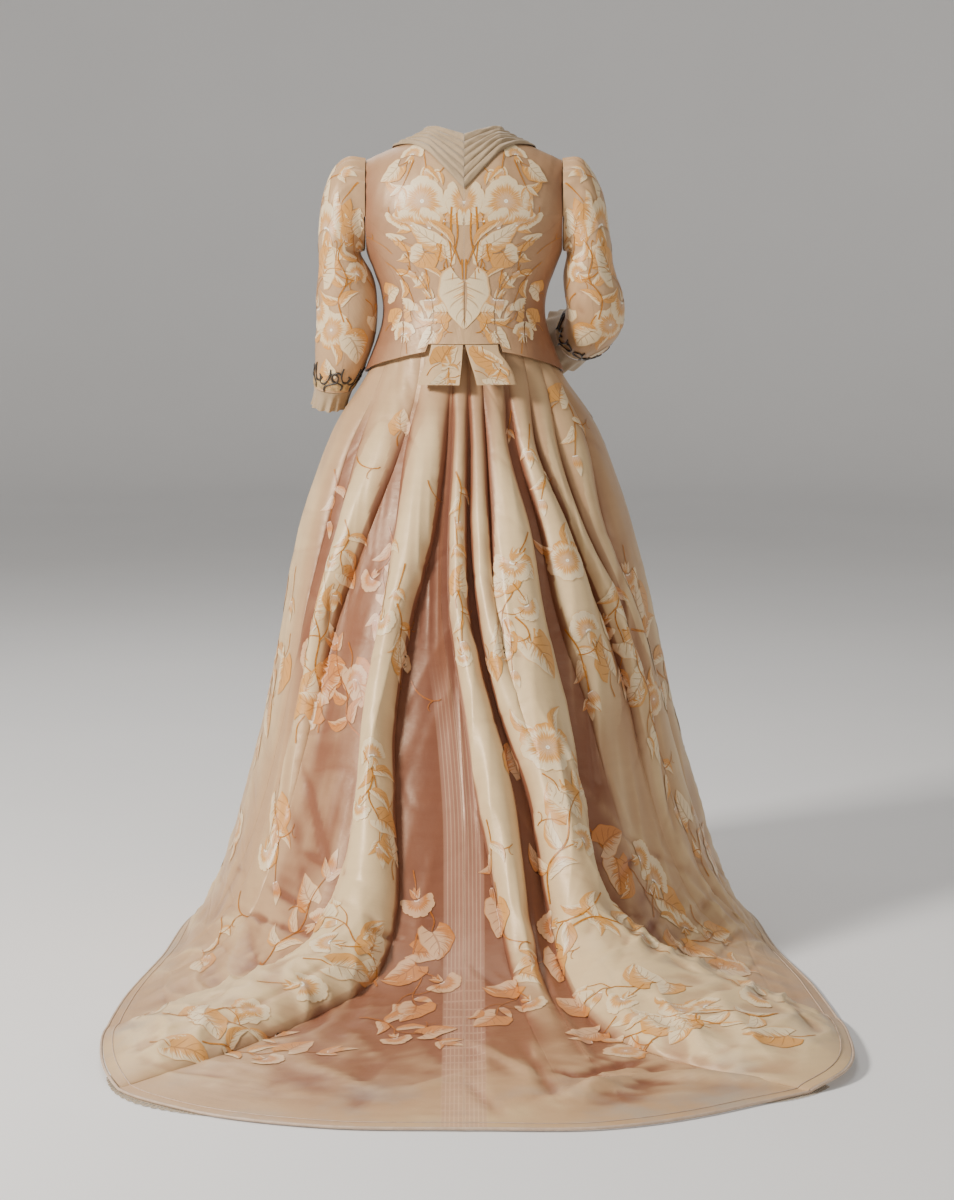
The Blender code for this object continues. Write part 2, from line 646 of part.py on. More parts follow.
def with_hem(rows, angles, hem_first, hem_last):
    """Adds the row of points along the hem to a panel; returns its angles and ways."""
    hem = np.linspace(hem_first, hem_last, angles.shape[1])[None]
    ways = np.repeat(way_of_height(rows)[:, None], angles.shape[1], axis=1)
    return np.concatenate([hem, angles]), np.concatenate([way_of_height(hem_height(hem)), ways])


def with_shoulder(angles, ways, edge_angle, neck_way):
    """Adds the rows above chest height, up to the shoulder seam and the neck."""
    across = np.linspace(0, edge_angle, angles.shape[1])
    neck_end = np.degrees(np.arcsin(NECK_HALF_WIDTH / TORSO[-1][1]))
    top = np.interp(across, [0, neck_end], [neck_way, 1.0])
    upper_ways = np.array(SHOULDER_ROWS)[:, None] * top[None, :]
    upper_angles = np.repeat(across[None], len(upper_ways), axis=0)
    return np.concatenate([angles, upper_angles]), np.concatenate([ways, upper_ways])


def add_bodice_half(side, word, dress):
    """The back, side back, side and front of one half of the bodice."""
    rows = np.array(BODY_ROWS)
    back_seam = seam_angle(1, rows)
    side_back_seam = np.minimum(seam_angle(2, rows), armhole_angle(rows))
    low_back_seam = seam_angle(1, hem_height(seam_angle(1, TAIL_TOP)))
    low_side_back_seam = seam_angle(2, hem_height(seam_angle(2, TAIL_TOP)))

    back_rows = np.append(TAIL_TOP, rows)
    angles = body_angles(back_rows, 0.0, seam_angle(1, back_rows), BACK_POINTS)
    ways = np.repeat(way_of_height(back_rows)[:, None], BACK_POINTS, axis=1)
    angles, ways = with_shoulder(angles, ways, back_seam[-1], NECK_BACK_WAY)
    add_panel(f"bodice_back_{word}", angles, ways, side, dress, (True, True, True, True))

    angles = body_angles(rows, back_seam, side_back_seam, SIDE_BACK_POINTS)
    angles, ways = with_hem(rows, angles, low_back_seam, low_side_back_seam)
    add_panel(f"bodice_side_back_{word}", angles, ways, side, dress)

    under = rows[rows < SIDE_PANEL_TOP]
    under_edge = np.minimum(SIDE_SEAM, armhole_angle(under))
    angles = body_angles(under, side_back_seam[: len(under)], under_edge, SIDE_POINTS)
    angles, ways = with_hem(under, angles, low_side_back_seam, SIDE_SEAM)
    add_panel(f"bodice_side_{word}", angles, ways, side, dress)

    front_edge = np.maximum(SIDE_SEAM, 180 - armhole_angle(rows))
    angles = body_angles(rows, front_edge, 180.0, BODICE_FRONT_POINTS)
    angles, ways = with_hem(rows, angles, SIDE_SEAM, 180.0)
    angles, ways = 180 - angles[:, ::-1], ways[:, ::-1]
    angles, ways = with_shoulder(angles, ways, 180 - front_edge[-1], 2 - NECK_FRONT_WAY)
    add_panel(f"bodice_front_{word}", 180 - angles, ways, side, dress, (False, True, True, True))


def add_tail(side, word, dress):
    """A pleated tail: three layers folded behind each other, from the waist of the back down."""
    rows = []
    thick = []
    for down, left_vent, left, right_vent, right, stand_off, spacing in TAIL_ROWS:
        vent, edge = (left_vent, left) if side > 0 else (-right_vent, -right)
        z = TAIL_TOP - TAIL_SEAM_DROP - down
        half_width = curve(z, column(TORSO, 0), column(TORSO, 1))
        depth = curve(z, column(TORSO, 0), column(TORSO, 2))
        path = tail_path(vent, edge, spacing)
        y = depth * np.sqrt(1 - (path[:, 0] / half_width) ** 2) + stand_off
        rows.append(np.stack([path[:, 0], y + path[:, 1], np.full(len(path), z)], axis=-1))
        step = np.gradient(path, axis=0)
        thick.append(unit(np.stack([-step[:, 1], step[:, 0], np.zeros(len(path))], axis=-1)))
    points = mirrored(np.array(rows), side)
    normals = mirrored(np.array(thick), side)
    add_piece(f"tail_{word}", *wall(points, normals, TAIL_CLOTH), BROCADE, dress)


def tail_path(vent, edge, spacing):
    """Across a tail from its vent: the top layer, a fold at the edge, and two layers under it."""
    radius = spacing / 2
    under = edge - TAIL_UNDERLAP
    turn = np.radians(TAIL_TURN_DEG)[::-1]
    top = [(x, 0.0) for x in np.linspace(vent, edge - radius, TAIL_TOP_POINTS)]
    fold = [(edge - radius + radius * np.cos(a), -radius + radius * np.sin(a)) for a in turn]
    middle = np.linspace(edge - radius, under + radius, TAIL_UNDER_POINTS)
    back = [(under + radius - radius * np.cos(a), radius * np.sin(a) - radius - spacing) for a in turn]
    last = np.linspace(under + radius, edge - TAIL_INNER_STEP, TAIL_UNDER_POINTS)
    layers = top + fold + [(x, -spacing) for x in middle] + back
    return np.array(layers + [(x, -2 * spacing) for x in last])


def section_frames(head, arm, side):
    """Centre, outward axis, depth axis and half sizes of each section of a sleeve."""
    sections = []
    for turn_deg, reach, half_depth in head:
        turn = np.radians(turn_deg)
        outward = np.array([side * np.sin(turn), 0, np.cos(turn)])
        forward = np.interp(turn_deg, (0, 90), HEAD_SHIFT)
        armpit = np.array([side * ARMPIT_X, forward, ARMPIT_Z])
        centre = armpit + outward * (reach + ARMPIT_INSET) / 2
        half_width = (reach - ARMPIT_INSET) / 2
        sections.append((centre, outward, np.array([0, 1.0, 0]), half_width, half_depth))
    sections += arm_frames(arm, side)
    return sections


def arm_frames(arm, side):
    sections = []
    for x, y, z, ax, ay, az, half_width, half_depth in arm:
        along = unit(np.array([ax, ay, az], float))
        outward = np.array([side, 0, 0], float)
        outward = unit(outward - along * np.dot(along, outward))
        deep = unit(np.cross(along, outward)) * side
        deep = deep * (1 if np.dot(deep, (0, 1, -1)) > 0 else -1)
        sections.append((np.array([x, y, z]), outward, deep, half_width, half_depth))
    return sections


def sleeve_ring(section, angles, ripple):
    centre, outward, deep, half_width, half_depth = section
    turn = np.radians(angles)
    reach = 1 + ripple
    across = outward[None] * (half_width * np.cos(turn) * reach)[:, None]
    through = deep[None] * (half_depth * np.sin(turn) * reach)[:, None]
    return centre[None] + across + through


def clear_of_torso(points, side, margin):
    """Moves points of a sleeve out sideways until they are just clear of the bodice."""
    z = np.clip(points[..., 2], TORSO[0][0], CHEST_HEIGHT)
    half_width = curve(z, column(TORSO, 0), column(TORSO, 1))
    back = curve(z, column(TORSO, 0), column(TORSO, 2))
    front = curve(z, column(TORSO, 0), column(TORSO, 3))
    depth = np.where(points[..., 1] >= 0, back, front)
    edge = half_width * np.sqrt(np.clip(1 - (points[..., 1] / depth) ** 2, 0, 1))
    free = np.where(points[..., 2] < CHEST_HEIGHT, edge + margin, 0)
    moved = points.copy()
    moved[..., 0] = side * np.maximum(points[..., 0] * side, free)
    return moved


def add_sleeve(side, word, head, arm, dress):
    """The upper and under halves of a sleeve, cut from one set of sections."""
    sections = section_frames(head, arm, side)
    first, last = SLEEVE_SEAMS
    upper = np.linspace(first, last, UPPER_POINTS)
    under = np.linspace(last, first + 360, UNDER_POINTS)
    angles = np.concatenate([upper, under[1:-1]])
    rows = []
    for number, section in enumerate(sections):
        fade = max(0, 1 - number / HEAD_GATHER_SECTIONS)
        over_head = np.clip(np.cos(np.radians(angles)), 0, 1)
        depth = HEAD_GATHER_DEPTH / section[3] * fade * over_head
        ripple = depth * np.sin(np.radians(angles * HEAD_GATHERS))
        rows.append(sleeve_ring(section, angles, ripple))
    points = clear_of_torso(np.array(rows), side, CLOTH + SLEEVE_CLEARANCE)
    centres = np.array([section[0] for section in sections])[:, None]
    normals = facing(grid_normals(points, wrap=True), points - centres)
    columns = np.arange(len(angles))
    halves = (
        ("sleeve_upper", columns[:UPPER_POINTS]),
        ("sleeve_under", np.append(columns[UPPER_POINTS - 1:], 0)),
    )
    for piece, part in halves:
        panel = seam_shift(points[:, part], False, False, True, True)
        add_piece(f"{piece}_{word}", *wall(panel, normals[:, part], CLOTH), BROCADE, dress)


def add_cuff(side, word, rows, dress):
    """A gauze frill at the end of a sleeve, with its waves growing towards the edge."""
    sections = arm_frames(rows, side)
    count = CUFF_WAVES * POINTS_PER_WAVE
    angles = np.arange(count) * 360.0 / count
    points = []
    for number, section in enumerate(sections):
        grow = number / (len(sections) - 1)
        ripple = CUFF_WAVE_DEPTH / section[3] * grow * np.cos(np.radians(angles * CUFF_WAVES))
        points.append(sleeve_ring(section, angles, ripple))
    points = np.array(points)
    centres = np.array([section[0] for section in sections])[:, None]
    normals = facing(grid_normals(points, wrap=True), points - centres)
    add_piece(f"cuff_{word}", *wall(points, normals, GAUZE, wrap=True), GAUZE_LOOK, dress)


def collar_point(along, across):
    """Angle, way and stand-off of a point of the collar, across from its neck edge."""
    keys = column(COLLAR, 0)
    inner_angle, inner_way, outer_angle, outer_way = (
        curve(along, keys, column(COLLAR, index)) for index in (1, 2, 3, 4)
    )
    angle = inner_angle * (1 - across) + outer_angle * across
    way = inner_way * (1 - across) + outer_way * across
    pleat = COLLAR_PLEAT_DEPTH * np.abs(np.sin(np.pi * COLLAR_PLEATS * across)) ** 0.8
    neck = COLLAR_STAND * np.clip(1 - across / COLLAR_STAND_WIDTH, 0, 1) ** 2
    return angle, way, SEAM_GAP + GAUZE + COLLAR_LIFT + pleat + neck


def add_collar(side, word, dress):
    along = np.linspace(0, 1, COLLAR_ROWS)
    across = np.linspace(0, 1, COLLAR_PLEATS * 2 + 1)
    along, across = np.meshgrid(along, across, indexing="ij")
    angle, way, stand = collar_point(along, across)
    points = mirrored(torso(angle, way) + torso_normal(angle, way) * stand[..., None], side)
    normals = facing(grid_normals(points, wrap=False), mirrored(torso_normal(angle, way), side))
    points[0, :, 0] = side * SEAM_GAP
    points[-1, :, 0] = side * SEAM_GAP
    normals[0, :, 0] = 0
    normals[-1, :, 0] = 0
    add_piece(f"collar_{word}", *wall(points, unit(normals), GAUZE), GAUZE_LOOK, dress)


def add_dust_ruffle(name, first, last, reach, dress):
    """A strip of lace on the floor, from just under the hem outwards."""
    places = np.linspace(first, last, RUFFLE_WAVES * POINTS_PER_WAVE + 1)
    hem = skirt_point(places, np.ones_like(places))
    inside = skirt_point(places, np.full_like(places, 0.97))
    beyond = unit((hem - inside) * np.array([1, 1, 0]))
    wave = 0.5 + 0.5 * np.sin(np.linspace(0, 2 * np.pi * RUFFLE_WAVES, len(places)))
    fade = np.sin(np.linspace(0.15, np.pi - 0.15, len(places)))
    rows = []
    for share in (0.0, 0.5, 1.0):
        out = reach * fade * share * (0.8 + 0.2 * wave)
        rows.append(hem + beyond * out[:, None])
    rows.insert(0, hem - beyond * RUFFLE_UNDER_HEM)
    points = np.array(rows)
    points[..., 2] = RUFFLE_FLOOR + RUFFLE_THICKNESS
    normals = np.zeros_like(points)
    normals[..., 2] = 1
    add_piece(name, *wall(points, normals, RUFFLE_THICKNESS), LACE, dress)


def build():
    for old in list(bpy.data.objects):
        bpy.data.objects.remove(old)
    dress = bpy.data.objects.new("dress", None)
    dress.location = (0, 0, -WAIST_HEIGHT)
    bpy.context.scene.collection.objects.link(dress)
    add_skirt(dress)
    add_waistband(dress)
    for side, word in ((1, "left"), (-1, "right")):
        add_bodice_half(side, word, dress)
        add_tail(side, word, dress)
        add_collar(side, word, dress)
    add_sleeve(1, "left", HEAD_LEFT, ARM_LEFT, dress)
    add_sleeve(-1, "right", HEAD_RIGHT, ARM_RIGHT, dress)
    add_cuff(1, "left", CUFF_LEFT, dress)
    add_cuff(-1, "right", CUFF_RIGHT, dress)
    for name, first, last, reach in RUFFLE_SPANS:
        add_dust_ruffle(name, first, last, reach, dress)


build()
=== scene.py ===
"""Looks of the trained dinner dress: thin shells of cloth on the forms of its solids, with finer
creases, the woven flowers, leaves and tendrils, trims, floor, light and camera.

The dress faces -Y and its left side is at +X. Heights in the tables are measured from the floor."""

import math

import bmesh
import bpy
import numpy as np
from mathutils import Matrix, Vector


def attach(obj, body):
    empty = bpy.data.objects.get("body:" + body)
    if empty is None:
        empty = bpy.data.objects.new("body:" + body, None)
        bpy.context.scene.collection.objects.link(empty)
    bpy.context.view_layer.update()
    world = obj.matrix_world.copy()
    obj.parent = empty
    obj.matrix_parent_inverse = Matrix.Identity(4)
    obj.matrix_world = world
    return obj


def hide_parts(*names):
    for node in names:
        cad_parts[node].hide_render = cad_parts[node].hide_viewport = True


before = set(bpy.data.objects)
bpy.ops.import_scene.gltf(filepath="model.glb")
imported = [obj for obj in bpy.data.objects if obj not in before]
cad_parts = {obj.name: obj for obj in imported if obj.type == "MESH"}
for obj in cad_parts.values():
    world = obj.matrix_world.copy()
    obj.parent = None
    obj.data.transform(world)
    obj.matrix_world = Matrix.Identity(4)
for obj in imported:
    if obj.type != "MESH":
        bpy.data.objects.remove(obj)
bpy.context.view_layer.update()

# Driving sizes, in metres
WAIST_HEIGHT = 1.056
WAIST_HALF_WIDTH = 0.139
WAIST_HALF_DEPTH = 0.103
SKIRT_TOP = 1.045
BAND_TOP = 1.068
BAND_CLEARANCE = 0.0012
CLOTH = 0.0018
GAUZE = 0.0012
SEAM_GAP = 0.0003
HEM_CORD_RADIUS = 0.0024

# Skirt directions from centre back (place 0) round each side to centre front (place 1)
SKIRT_LEFT = (
    # place, waist_deg, hem_x, hem_y, back_share, front_share
    (0.00, 0.0, 0.000, 1.217, 1.00, 0.0),
    (0.10, 15.0, 0.200, 1.205, 1.00, 0.0),
    (0.20, 31.0, 0.395, 1.128, 1.00, 0.0),
    (0.27, 43.0, 0.506, 1.015, 0.98, 0.0),
    (0.33, 54.0, 0.543, 0.830, 0.90, 0.0),
    (0.40, 68.0, 0.542, 0.590, 0.65, 0.0),
    (0.48, 84.0, 0.506, 0.300, 0.25, 0.0),
    (0.57, 102.0, 0.482, 0.040, 0.0, 0.0),
    (0.70, 126.0, 0.400, -0.150, 0.0, 0.2),
    (0.85, 153.0, 0.225, -0.270, 0.0, 0.8),
    (1.00, 180.0, 0.000, -0.305, 0.0, 1.0),
)
SKIRT_RIGHT = (
    # place, waist_deg, hem_x, hem_y, back_share, front_share
    (0.00, 0.0, 0.000, 1.217, 1.00, 0.0),
    (0.10, 15.0, -0.200, 1.210, 1.00, 0.0),
    (0.20, 31.0, -0.395, 1.115, 1.00, 0.0),
    (0.27, 43.0, -0.552, 0.985, 0.98, 0.0),
    (0.33, 54.0, -0.580, 0.790, 0.90, 0.0),
    (0.40, 68.0, -0.568, 0.530, 0.65, 0.0),
    (0.48, 84.0, -0.532, 0.270, 0.25, 0.0),
    (0.57, 102.0, -0.508, 0.010, 0.0, 0.0),
    (0.70, 126.0, -0.415, -0.160, 0.0, 0.2),
    (0.85, 153.0, -0.230, -0.270, 0.0, 0.8),
    (1.00, 180.0, 0.000, -0.305, 0.0, 1.0),
)
# Profiles from waist (way 0) to hem (way 1): share of the run out to the hem, and height
SKIRT_PROFILES = (
    # way, back_out, back_z, side_out, side_z, front_out, front_z
    (0.00, 0.000, SKIRT_TOP, 0.000, SKIRT_TOP, 0.00, SKIRT_TOP),
    (0.04, 0.012, 0.998, 0.045, 0.998, 0.06, 0.998),
    (0.07, 0.028, 0.955, 0.115, 0.955, 0.14, 0.955),
    (0.11, 0.052, 0.900, 0.215, 0.900, 0.24, 0.900),
    (0.20, 0.115, 0.760, 0.350, 0.775, 0.40, 0.775),
    (0.30, 0.175, 0.600, 0.445, 0.645, 0.52, 0.645),
    (0.40, 0.240, 0.440, 0.520, 0.515, 0.62, 0.515),
    (0.50, 0.305, 0.290, 0.600, 0.385, 0.70, 0.385),
    (0.60, 0.375, 0.155, 0.690, 0.265, 0.78, 0.265),
    (0.70, 0.470, 0.060, 0.770, 0.165, 0.84, 0.165),
    (0.80, 0.620, 0.022, 0.840, 0.090, 0.90, 0.085),
    (0.90, 0.810, 0.0100, 0.920, 0.035, 0.96, 0.030),
    (1.00, 1.000, 0.0050, 1.000, 0.0075, 1.00, 0.0085),
)

# Lines that bound the skirt's folds: place of each line at these ways down the skirt
WAYS = (0.0, 0.07, 0.14, 0.23, 0.30, 0.40, 0.50, 0.60, 0.70, 0.82, 0.92, 1.0)
LINES = {
    "front_left": (0.700,) * 12,
    "side_left": (0.580,) * 12,
    "b": (0.385, 0.385, 0.413, 0.423, 0.435, 0.440, 0.445, 0.450, 0.460, 0.470, 0.480, 0.485),
    "c": (0.368, 0.368, 0.385, 0.390, 0.400, 0.407, 0.412, 0.420, 0.430, 0.440, 0.450, 0.455),
    "d": (0.200, 0.200, 0.225, 0.288, 0.332, 0.355, 0.368, 0.378, 0.385, 0.400, 0.415, 0.420),
    "e": (0.182, 0.182, 0.207, 0.205, 0.208, 0.210, 0.205, 0.215, 0.248, 0.312, 0.345, 0.360),
    "f": (0.060, 0.060, 0.062, 0.085, 0.122, 0.145, 0.130, 0.108, 0.118, 0.183, 0.230, 0.260),
    "centre_back": (0.051, 0.051, 0.052, 0.062, 0.058, 0.022, 0.003, 0.0, 0.0, 0.0, 0.0, 0.0),
    "g": (0.044, 0.044, 0.042, 0.048, 0.040, 0.004, -0.027, -0.052, -0.066, -0.075, -0.08, -0.08),
    "h": (-0.016, -0.016, -0.014, -0.010, -0.014, -0.062, -0.098, -0.104, -0.108, -0.115, -0.12, -0.12),
    "i": (-0.026, -0.026, -0.022, -0.018, -0.032, -0.074, -0.124, -0.132, -0.139, -0.150, -0.20, -0.24),
    "j": (-0.080, -0.080, -0.078, -0.075, -0.076, -0.110, -0.150, -0.160, -0.170, -0.190, -0.235, -0.27),
    "k": (-0.172, -0.172, -0.160, -0.198, -0.204, -0.224, -0.224, -0.228, -0.275, -0.330, -0.345, -0.36),
    "l": (-0.190, -0.190, -0.190, -0.222, -0.230, -0.262, -0.280, -0.300, -0.330, -0.370, -0.385, -0.40),
    "m": (-0.275, -0.275, -0.255, -0.305, -0.348, -0.385, -0.392, -0.400, -0.410, -0.425, -0.435, -0.44),
    "n": (-0.360, -0.360, -0.340, -0.360, -0.403, -0.430, -0.445, -0.455, -0.460, -0.470, -0.475, -0.48),
    "o": (-0.445, -0.445, -0.443, -0.425, -0.450, -0.490, -0.510, -0.515, -0.520, -0.520, -0.520, -0.52),
    "side_right": (-0.600,) * 12,
    "front_right": (-0.700,) * 12,
}
# Folds between two of those lines, and their height in millimetres at the same ways
FOLDS = (
    # left_line, right_line, peak, heights
    ("side_left", "b", 0.45, (2, 2, 7, 14, 12, 8, 6, 6, 4, 3, 3, 2)),
    ("c", "d", 0.50, (2, 4, 17, 30, 30, 16, 6, 4, 4, 3, 2, 0)),
    ("e", "f", 0.55, (2, 5, 18, 34, 44, 50, 52, 56, 58, 50, 38, 12)),
    ("g", "h", 0.50, (2, 5, 14, 22, 26, 32, 36, 34, 18, 4, 0, 0)),
    ("i", "j", 0.50, (2, 4, 12, 17, 16, 6, 0, 0, 0, 0, 0, 0)),
    ("j", "k", 0.55, (2, 5, 14, 25, 26, 10, 0, 0, 0, 0, 0, 0)),
    ("i", "k", 0.45, (0, 0, 0, 4, 15, 36, 54, 60, 60, 52, 40, 14)),
    ("l", "m", 0.45, (2, 5, 17, 28, 32, 18, 4, 0, 0, 0, 0, 0)),
    ("m", "n", 0.50, (2, 4, 13, 21, 26, 24, 12, 8, 6, 4, 2, 0)),
    ("n", "o", 0.50, (2, 4, 10, 14, 14, 12, 10, 8, 6, 4, 2, 0)),
    ("o", "side_right", 0.50, (2, 3, 6, 10, 12, 12, 10, 10, 8, 6, 4, 2)),
)
FOLD_STEEPNESS = 0.75
FRONT_FLUTES = 4
FRONT_FLUTE_DEPTH = 0.007
# Points across each strip between neighbouring lines, in the order of LINES
STRIP_POINTS = (2, 3, 1, 5, 2, 7, 3, 2, 4, 1, 3, 5, 1, 4, 3, 4, 3, 2)
SKIRT_PANELS = (
    # name, first_line, last_line
    ("skirt_side_left", "front_left", "b"),
    ("skirt_back_outer_left", "b", "e"),
    ("skirt_back_inner_left", "e", "centre_back"),
    ("skirt_back_inner_right", "centre_back", "k"),
    ("skirt_back_outer_right", "k", "o"),
    ("skirt_side_right", "o", "front_right"),
)

# Bodice: half width, depth of the back and of the front at each height
TORSO = (
    # z, half_width, back, front
    (0.960, 0.1800, 0.152, 0.142),
    (0.985, 0.1710, 0.140, 0.132),
    (1.010, 0.1610, 0.129, 0.124),
    (1.035, 0.1515, 0.1195, 0.117),
    (1.060, 0.1440, 0.1120, 0.112),
    (1.085, 0.1415, 0.1070, 0.111),
    (1.120, 0.1465, 0.1055, 0.117),
    (1.155, 0.1590, 0.1080, 0.131),
    (1.190, 0.1725, 0.1120, 0.143),
    (1.220, 0.1810, 0.1145, 0.143),
    (1.245, 0.1870, 0.1150, 0.137),
)
CHEST_HEIGHT = 1.245
NECK_TOP = 1.390
NECK_HALF_WIDTH = 0.060
SHOULDER_TOP = 1.341
ARMHOLE_X = 0.170
# Seams of the bodice, as angles round it from centre back
SEAM_ANGLES = (
    # z, back_seam, side_back_seam
    (0.960, 28.0, 41.0),
    (1.018, 24.5, 43.0),
    (1.050, 22.0, 45.0),
    (1.082, 21.5, 48.0),
    (1.131, 26.0, 50.0),
    (1.165, 33.0, 55.0),
    (1.190, 40.0, 64.0),
    (1.210, 48.0, 71.8),
    (1.230, 58.0, 72.0),
    (1.245, 64.9, 72.0),
)
SIDE_SEAM = 92.0
BACK_POINTS = 56
SIDE_BACK_POINTS = 30
SIDE_POINTS = 24
BODICE_FRONT_POINTS = 44
TAIL_TOP = 1.028
PEPLUM_HEM = (
    # angle, z
    (0.0, 1.018),
    (24.0, 1.015),
    (50.0, 1.000),
    (90.0, 0.976),
    (140.0, 0.972),
    (180.0, 0.958),
)
# Heights of the rows of points up the body, then shares of the way from the chest to the shoulder
BODY_ROWS = np.linspace(1.035, CHEST_HEIGHT, 50)
SHOULDER_ROWS = np.linspace(0, 1, 36)[1:]
SIDE_PANEL_TOP = 1.215
NECK_BACK_WAY = 0.66
NECK_FRONT_WAY = 1.93

# Tail: pleated ends of the back below the waist, outer edge to left and right
TAIL_ROWS = (
    # down, left_vent, left_edge, right_vent, right_edge, stand_off, spacing
    (0.000, 0.002, 0.056, -0.002, -0.0585, 0.0004, 0.0026),
    (0.014, 0.003, 0.059, -0.006, -0.0615, 0.0020, 0.0034),
    (0.030, 0.004, 0.065, -0.011, -0.0740, 0.0055, 0.0044),
    (0.048, 0.006, 0.073, -0.017, -0.0840, 0.0105, 0.0056),
    (0.066, 0.008, 0.080, -0.022, -0.0890, 0.0165, 0.0064),
)
TAIL_UNDERLAP = 0.044
TAIL_INNER_STEP = 0.004
TAIL_SEAM_DROP = 0.0011
TAIL_TURN_DEG = (-70.0, -35.0, 0.0, 35.0, 70.0)
TAIL_TOP_POINTS = 24
TAIL_UNDER_POINTS = 12

# Sleeves: the head turns about the armpit, then the arm goes on through its sections
ARMPIT_Z = 1.178
ARMPIT_X = 0.1706
ARMPIT_INSET = 0.008
HEAD_SHIFT = (-0.003, 0.003)
HEAD_LEFT = (
    # turn_deg, reach, half_depth
    (0.0, 0.163, 0.052),
    (11.0, 0.167, 0.053),
    (22.0, 0.154, 0.055),
    (38.0, 0.121, 0.056),
    (63.0, 0.093, 0.055),
    (90.0, 0.082, 0.055),
)
HEAD_RIGHT = (
    # turn_deg, reach, half_depth
    (0.0, 0.163, 0.052),
    (10.0, 0.166, 0.053),
    (19.0, 0.153, 0.055),
    (33.0, 0.127, 0.056),
    (60.0, 0.095, 0.055),
    (90.0, 0.087, 0.055),
)
ARM_LEFT = (
    # x, y, z, along_x, along_y, along_z, half_width, half_depth
    (0.2065, 0.004, 1.146, 0.0, -0.05, -1.0, 0.0475, 0.0550),
    (0.2045, 0.003, 1.108, 0.0, -0.05, -1.0, 0.0525, 0.0555),
    (0.2045, 0.000, 1.062, 0.0, -0.12, -1.0, 0.0530, 0.0545),
    (0.2110, -0.007, 1.014, 0.05, -0.20, -1.0, 0.0485, 0.0505),
    (0.2210, -0.017, 0.975, 0.05, -0.25, -1.0, 0.0410, 0.0455),
    (0.2285, -0.023, 0.948, 0.05, -0.25, -1.0, 0.0345, 0.0420),
)
ARM_RIGHT = (
    # x, y, z, along_x, along_y, along_z, half_width, half_depth
    (-0.2180, 0.002, 1.148, 0.0, -0.05, -1.0, 0.0460, 0.0550),
    (-0.2250, 0.000, 1.116, 0.0, -0.15, -1.0, 0.0500, 0.0550),
    (-0.2300, -0.008, 1.086, 0.05, -0.45, -0.9, 0.0510, 0.0530),
    (-0.2270, -0.027, 1.060, 0.20, -0.80, -0.6, 0.0500, 0.0510),
    (-0.2160, -0.052, 1.045, 0.35, -0.90, -0.35, 0.0475, 0.0495),
    (-0.2030, -0.078, 1.036, 0.42, -0.88, -0.25, 0.0445, 0.0470),
)
CUFF_LEFT = (
    # x, y, z, along_x, along_y, along_z, half_width, half_depth
    (0.2286, -0.0232, 0.9472, 0.05, -0.25, -1.0, 0.0342, 0.0418),
    (0.2320, -0.0260, 0.9360, 0.05, -0.25, -1.0, 0.0320, 0.0410),
    (0.2355, -0.0290, 0.9240, 0.05, -0.25, -1.0, 0.0305, 0.0415),
    (0.2380, -0.0310, 0.9150, 0.05, -0.25, -1.0, 0.0305, 0.0425),
)
CUFF_RIGHT = (
    # x, y, z, along_x, along_y, along_z, half_width, half_depth
    (-0.2027, -0.0788, 1.0358, 0.42, -0.88, -0.25, 0.0445, 0.0470),
    (-0.1940, -0.0960, 1.0310, 0.42, -0.88, -0.25, 0.0455, 0.0500),
    (-0.1850, -0.1130, 1.0260, 0.42, -0.88, -0.25, 0.0470, 0.0540),
    (-0.1770, -0.1280, 1.0220, 0.42, -0.88, -0.25, 0.0485, 0.0570),
)
SLEEVE_SEAMS = (-105.0, 95.0)
UPPER_POINTS = 72
UNDER_POINTS = 42
HEAD_GATHERS = 12
CUFF_WAVES = 12
CUFF_WAVE_DEPTH = 0.0030
SLEEVE_CLEARANCE = 0.0012

# Gauze collar: its inner and outer edge, as angle round the body and way over the shoulder
COLLAR = (
    # along, inner_angle, inner_way, outer_angle, outer_way
    (0.00, 0.0, 0.73, 0.0, 0.20),
    (0.17, 6.0, 0.80, 14.0, 0.44),
    (0.33, 12.5, 0.90, 28.0, 0.72),
    (0.50, 18.5, 1.02, 41.0, 1.02),
    (0.67, 15.0, 1.30, 37.0, 1.50),
    (0.84, 8.0, 1.65, 20.0, 2.00),
    (1.00, 0.0, 1.96, 0.0, 2.45),
)
COLLAR_PLEATS = 6
COLLAR_PLEAT_DEPTH = 0.0030
COLLAR_STAND = 0.0060
COLLAR_STAND_WIDTH = 0.35
COLLAR_LIFT = 0.0013

# Dust ruffle: scraps of its lace edge that show beyond the hem of the train
RUFFLE_SPANS = (
    # name, first_place, last_place, reach
    ("dust_ruffle_left", 0.180, 0.285, 0.022),
    ("dust_ruffle_right", -0.255, -0.210, 0.012),
)
RUFFLE_THICKNESS = 0.0010
RUFFLE_FLOOR = 0.0004
RUFFLE_WAVES = 7
RUFFLE_UNDER_HEM = 0.012


def column(table, index):
    return np.array([row[index] for row in table], float)


def curve(at, keys, values):
    """A smooth curve through values at ascending keys."""
    keys = np.asarray(keys, float)
    values = np.asarray(values, float)
    slopes = np.gradient(values, keys)
    at = np.clip(np.asarray(at, float), keys[0], keys[-1])
    i = np.clip(np.searchsorted(keys, at, side="right") - 1, 0, len(keys) - 2)
    step = keys[i + 1] - keys[i]
    u = (at - keys[i]) / step
    start = values[i] * (1 + 2 * u) * (1 - u) ** 2 + slopes[i] * step * u * (1 - u) ** 2
    end = values[i + 1] * u**2 * (3 - 2 * u) - slopes[i + 1] * step * u**2 * (1 - u)
    return start + end


def looked_up(table, at, index):
    """A smooth value from a column of a table, by its first column."""
    return curve(at, column(table, 0), column(table, index))


def unit(vectors):
    lengths = np.linalg.norm(vectors, axis=-1, keepdims=True)
    return vectors / np.maximum(lengths, 1e-12)


# Skirt


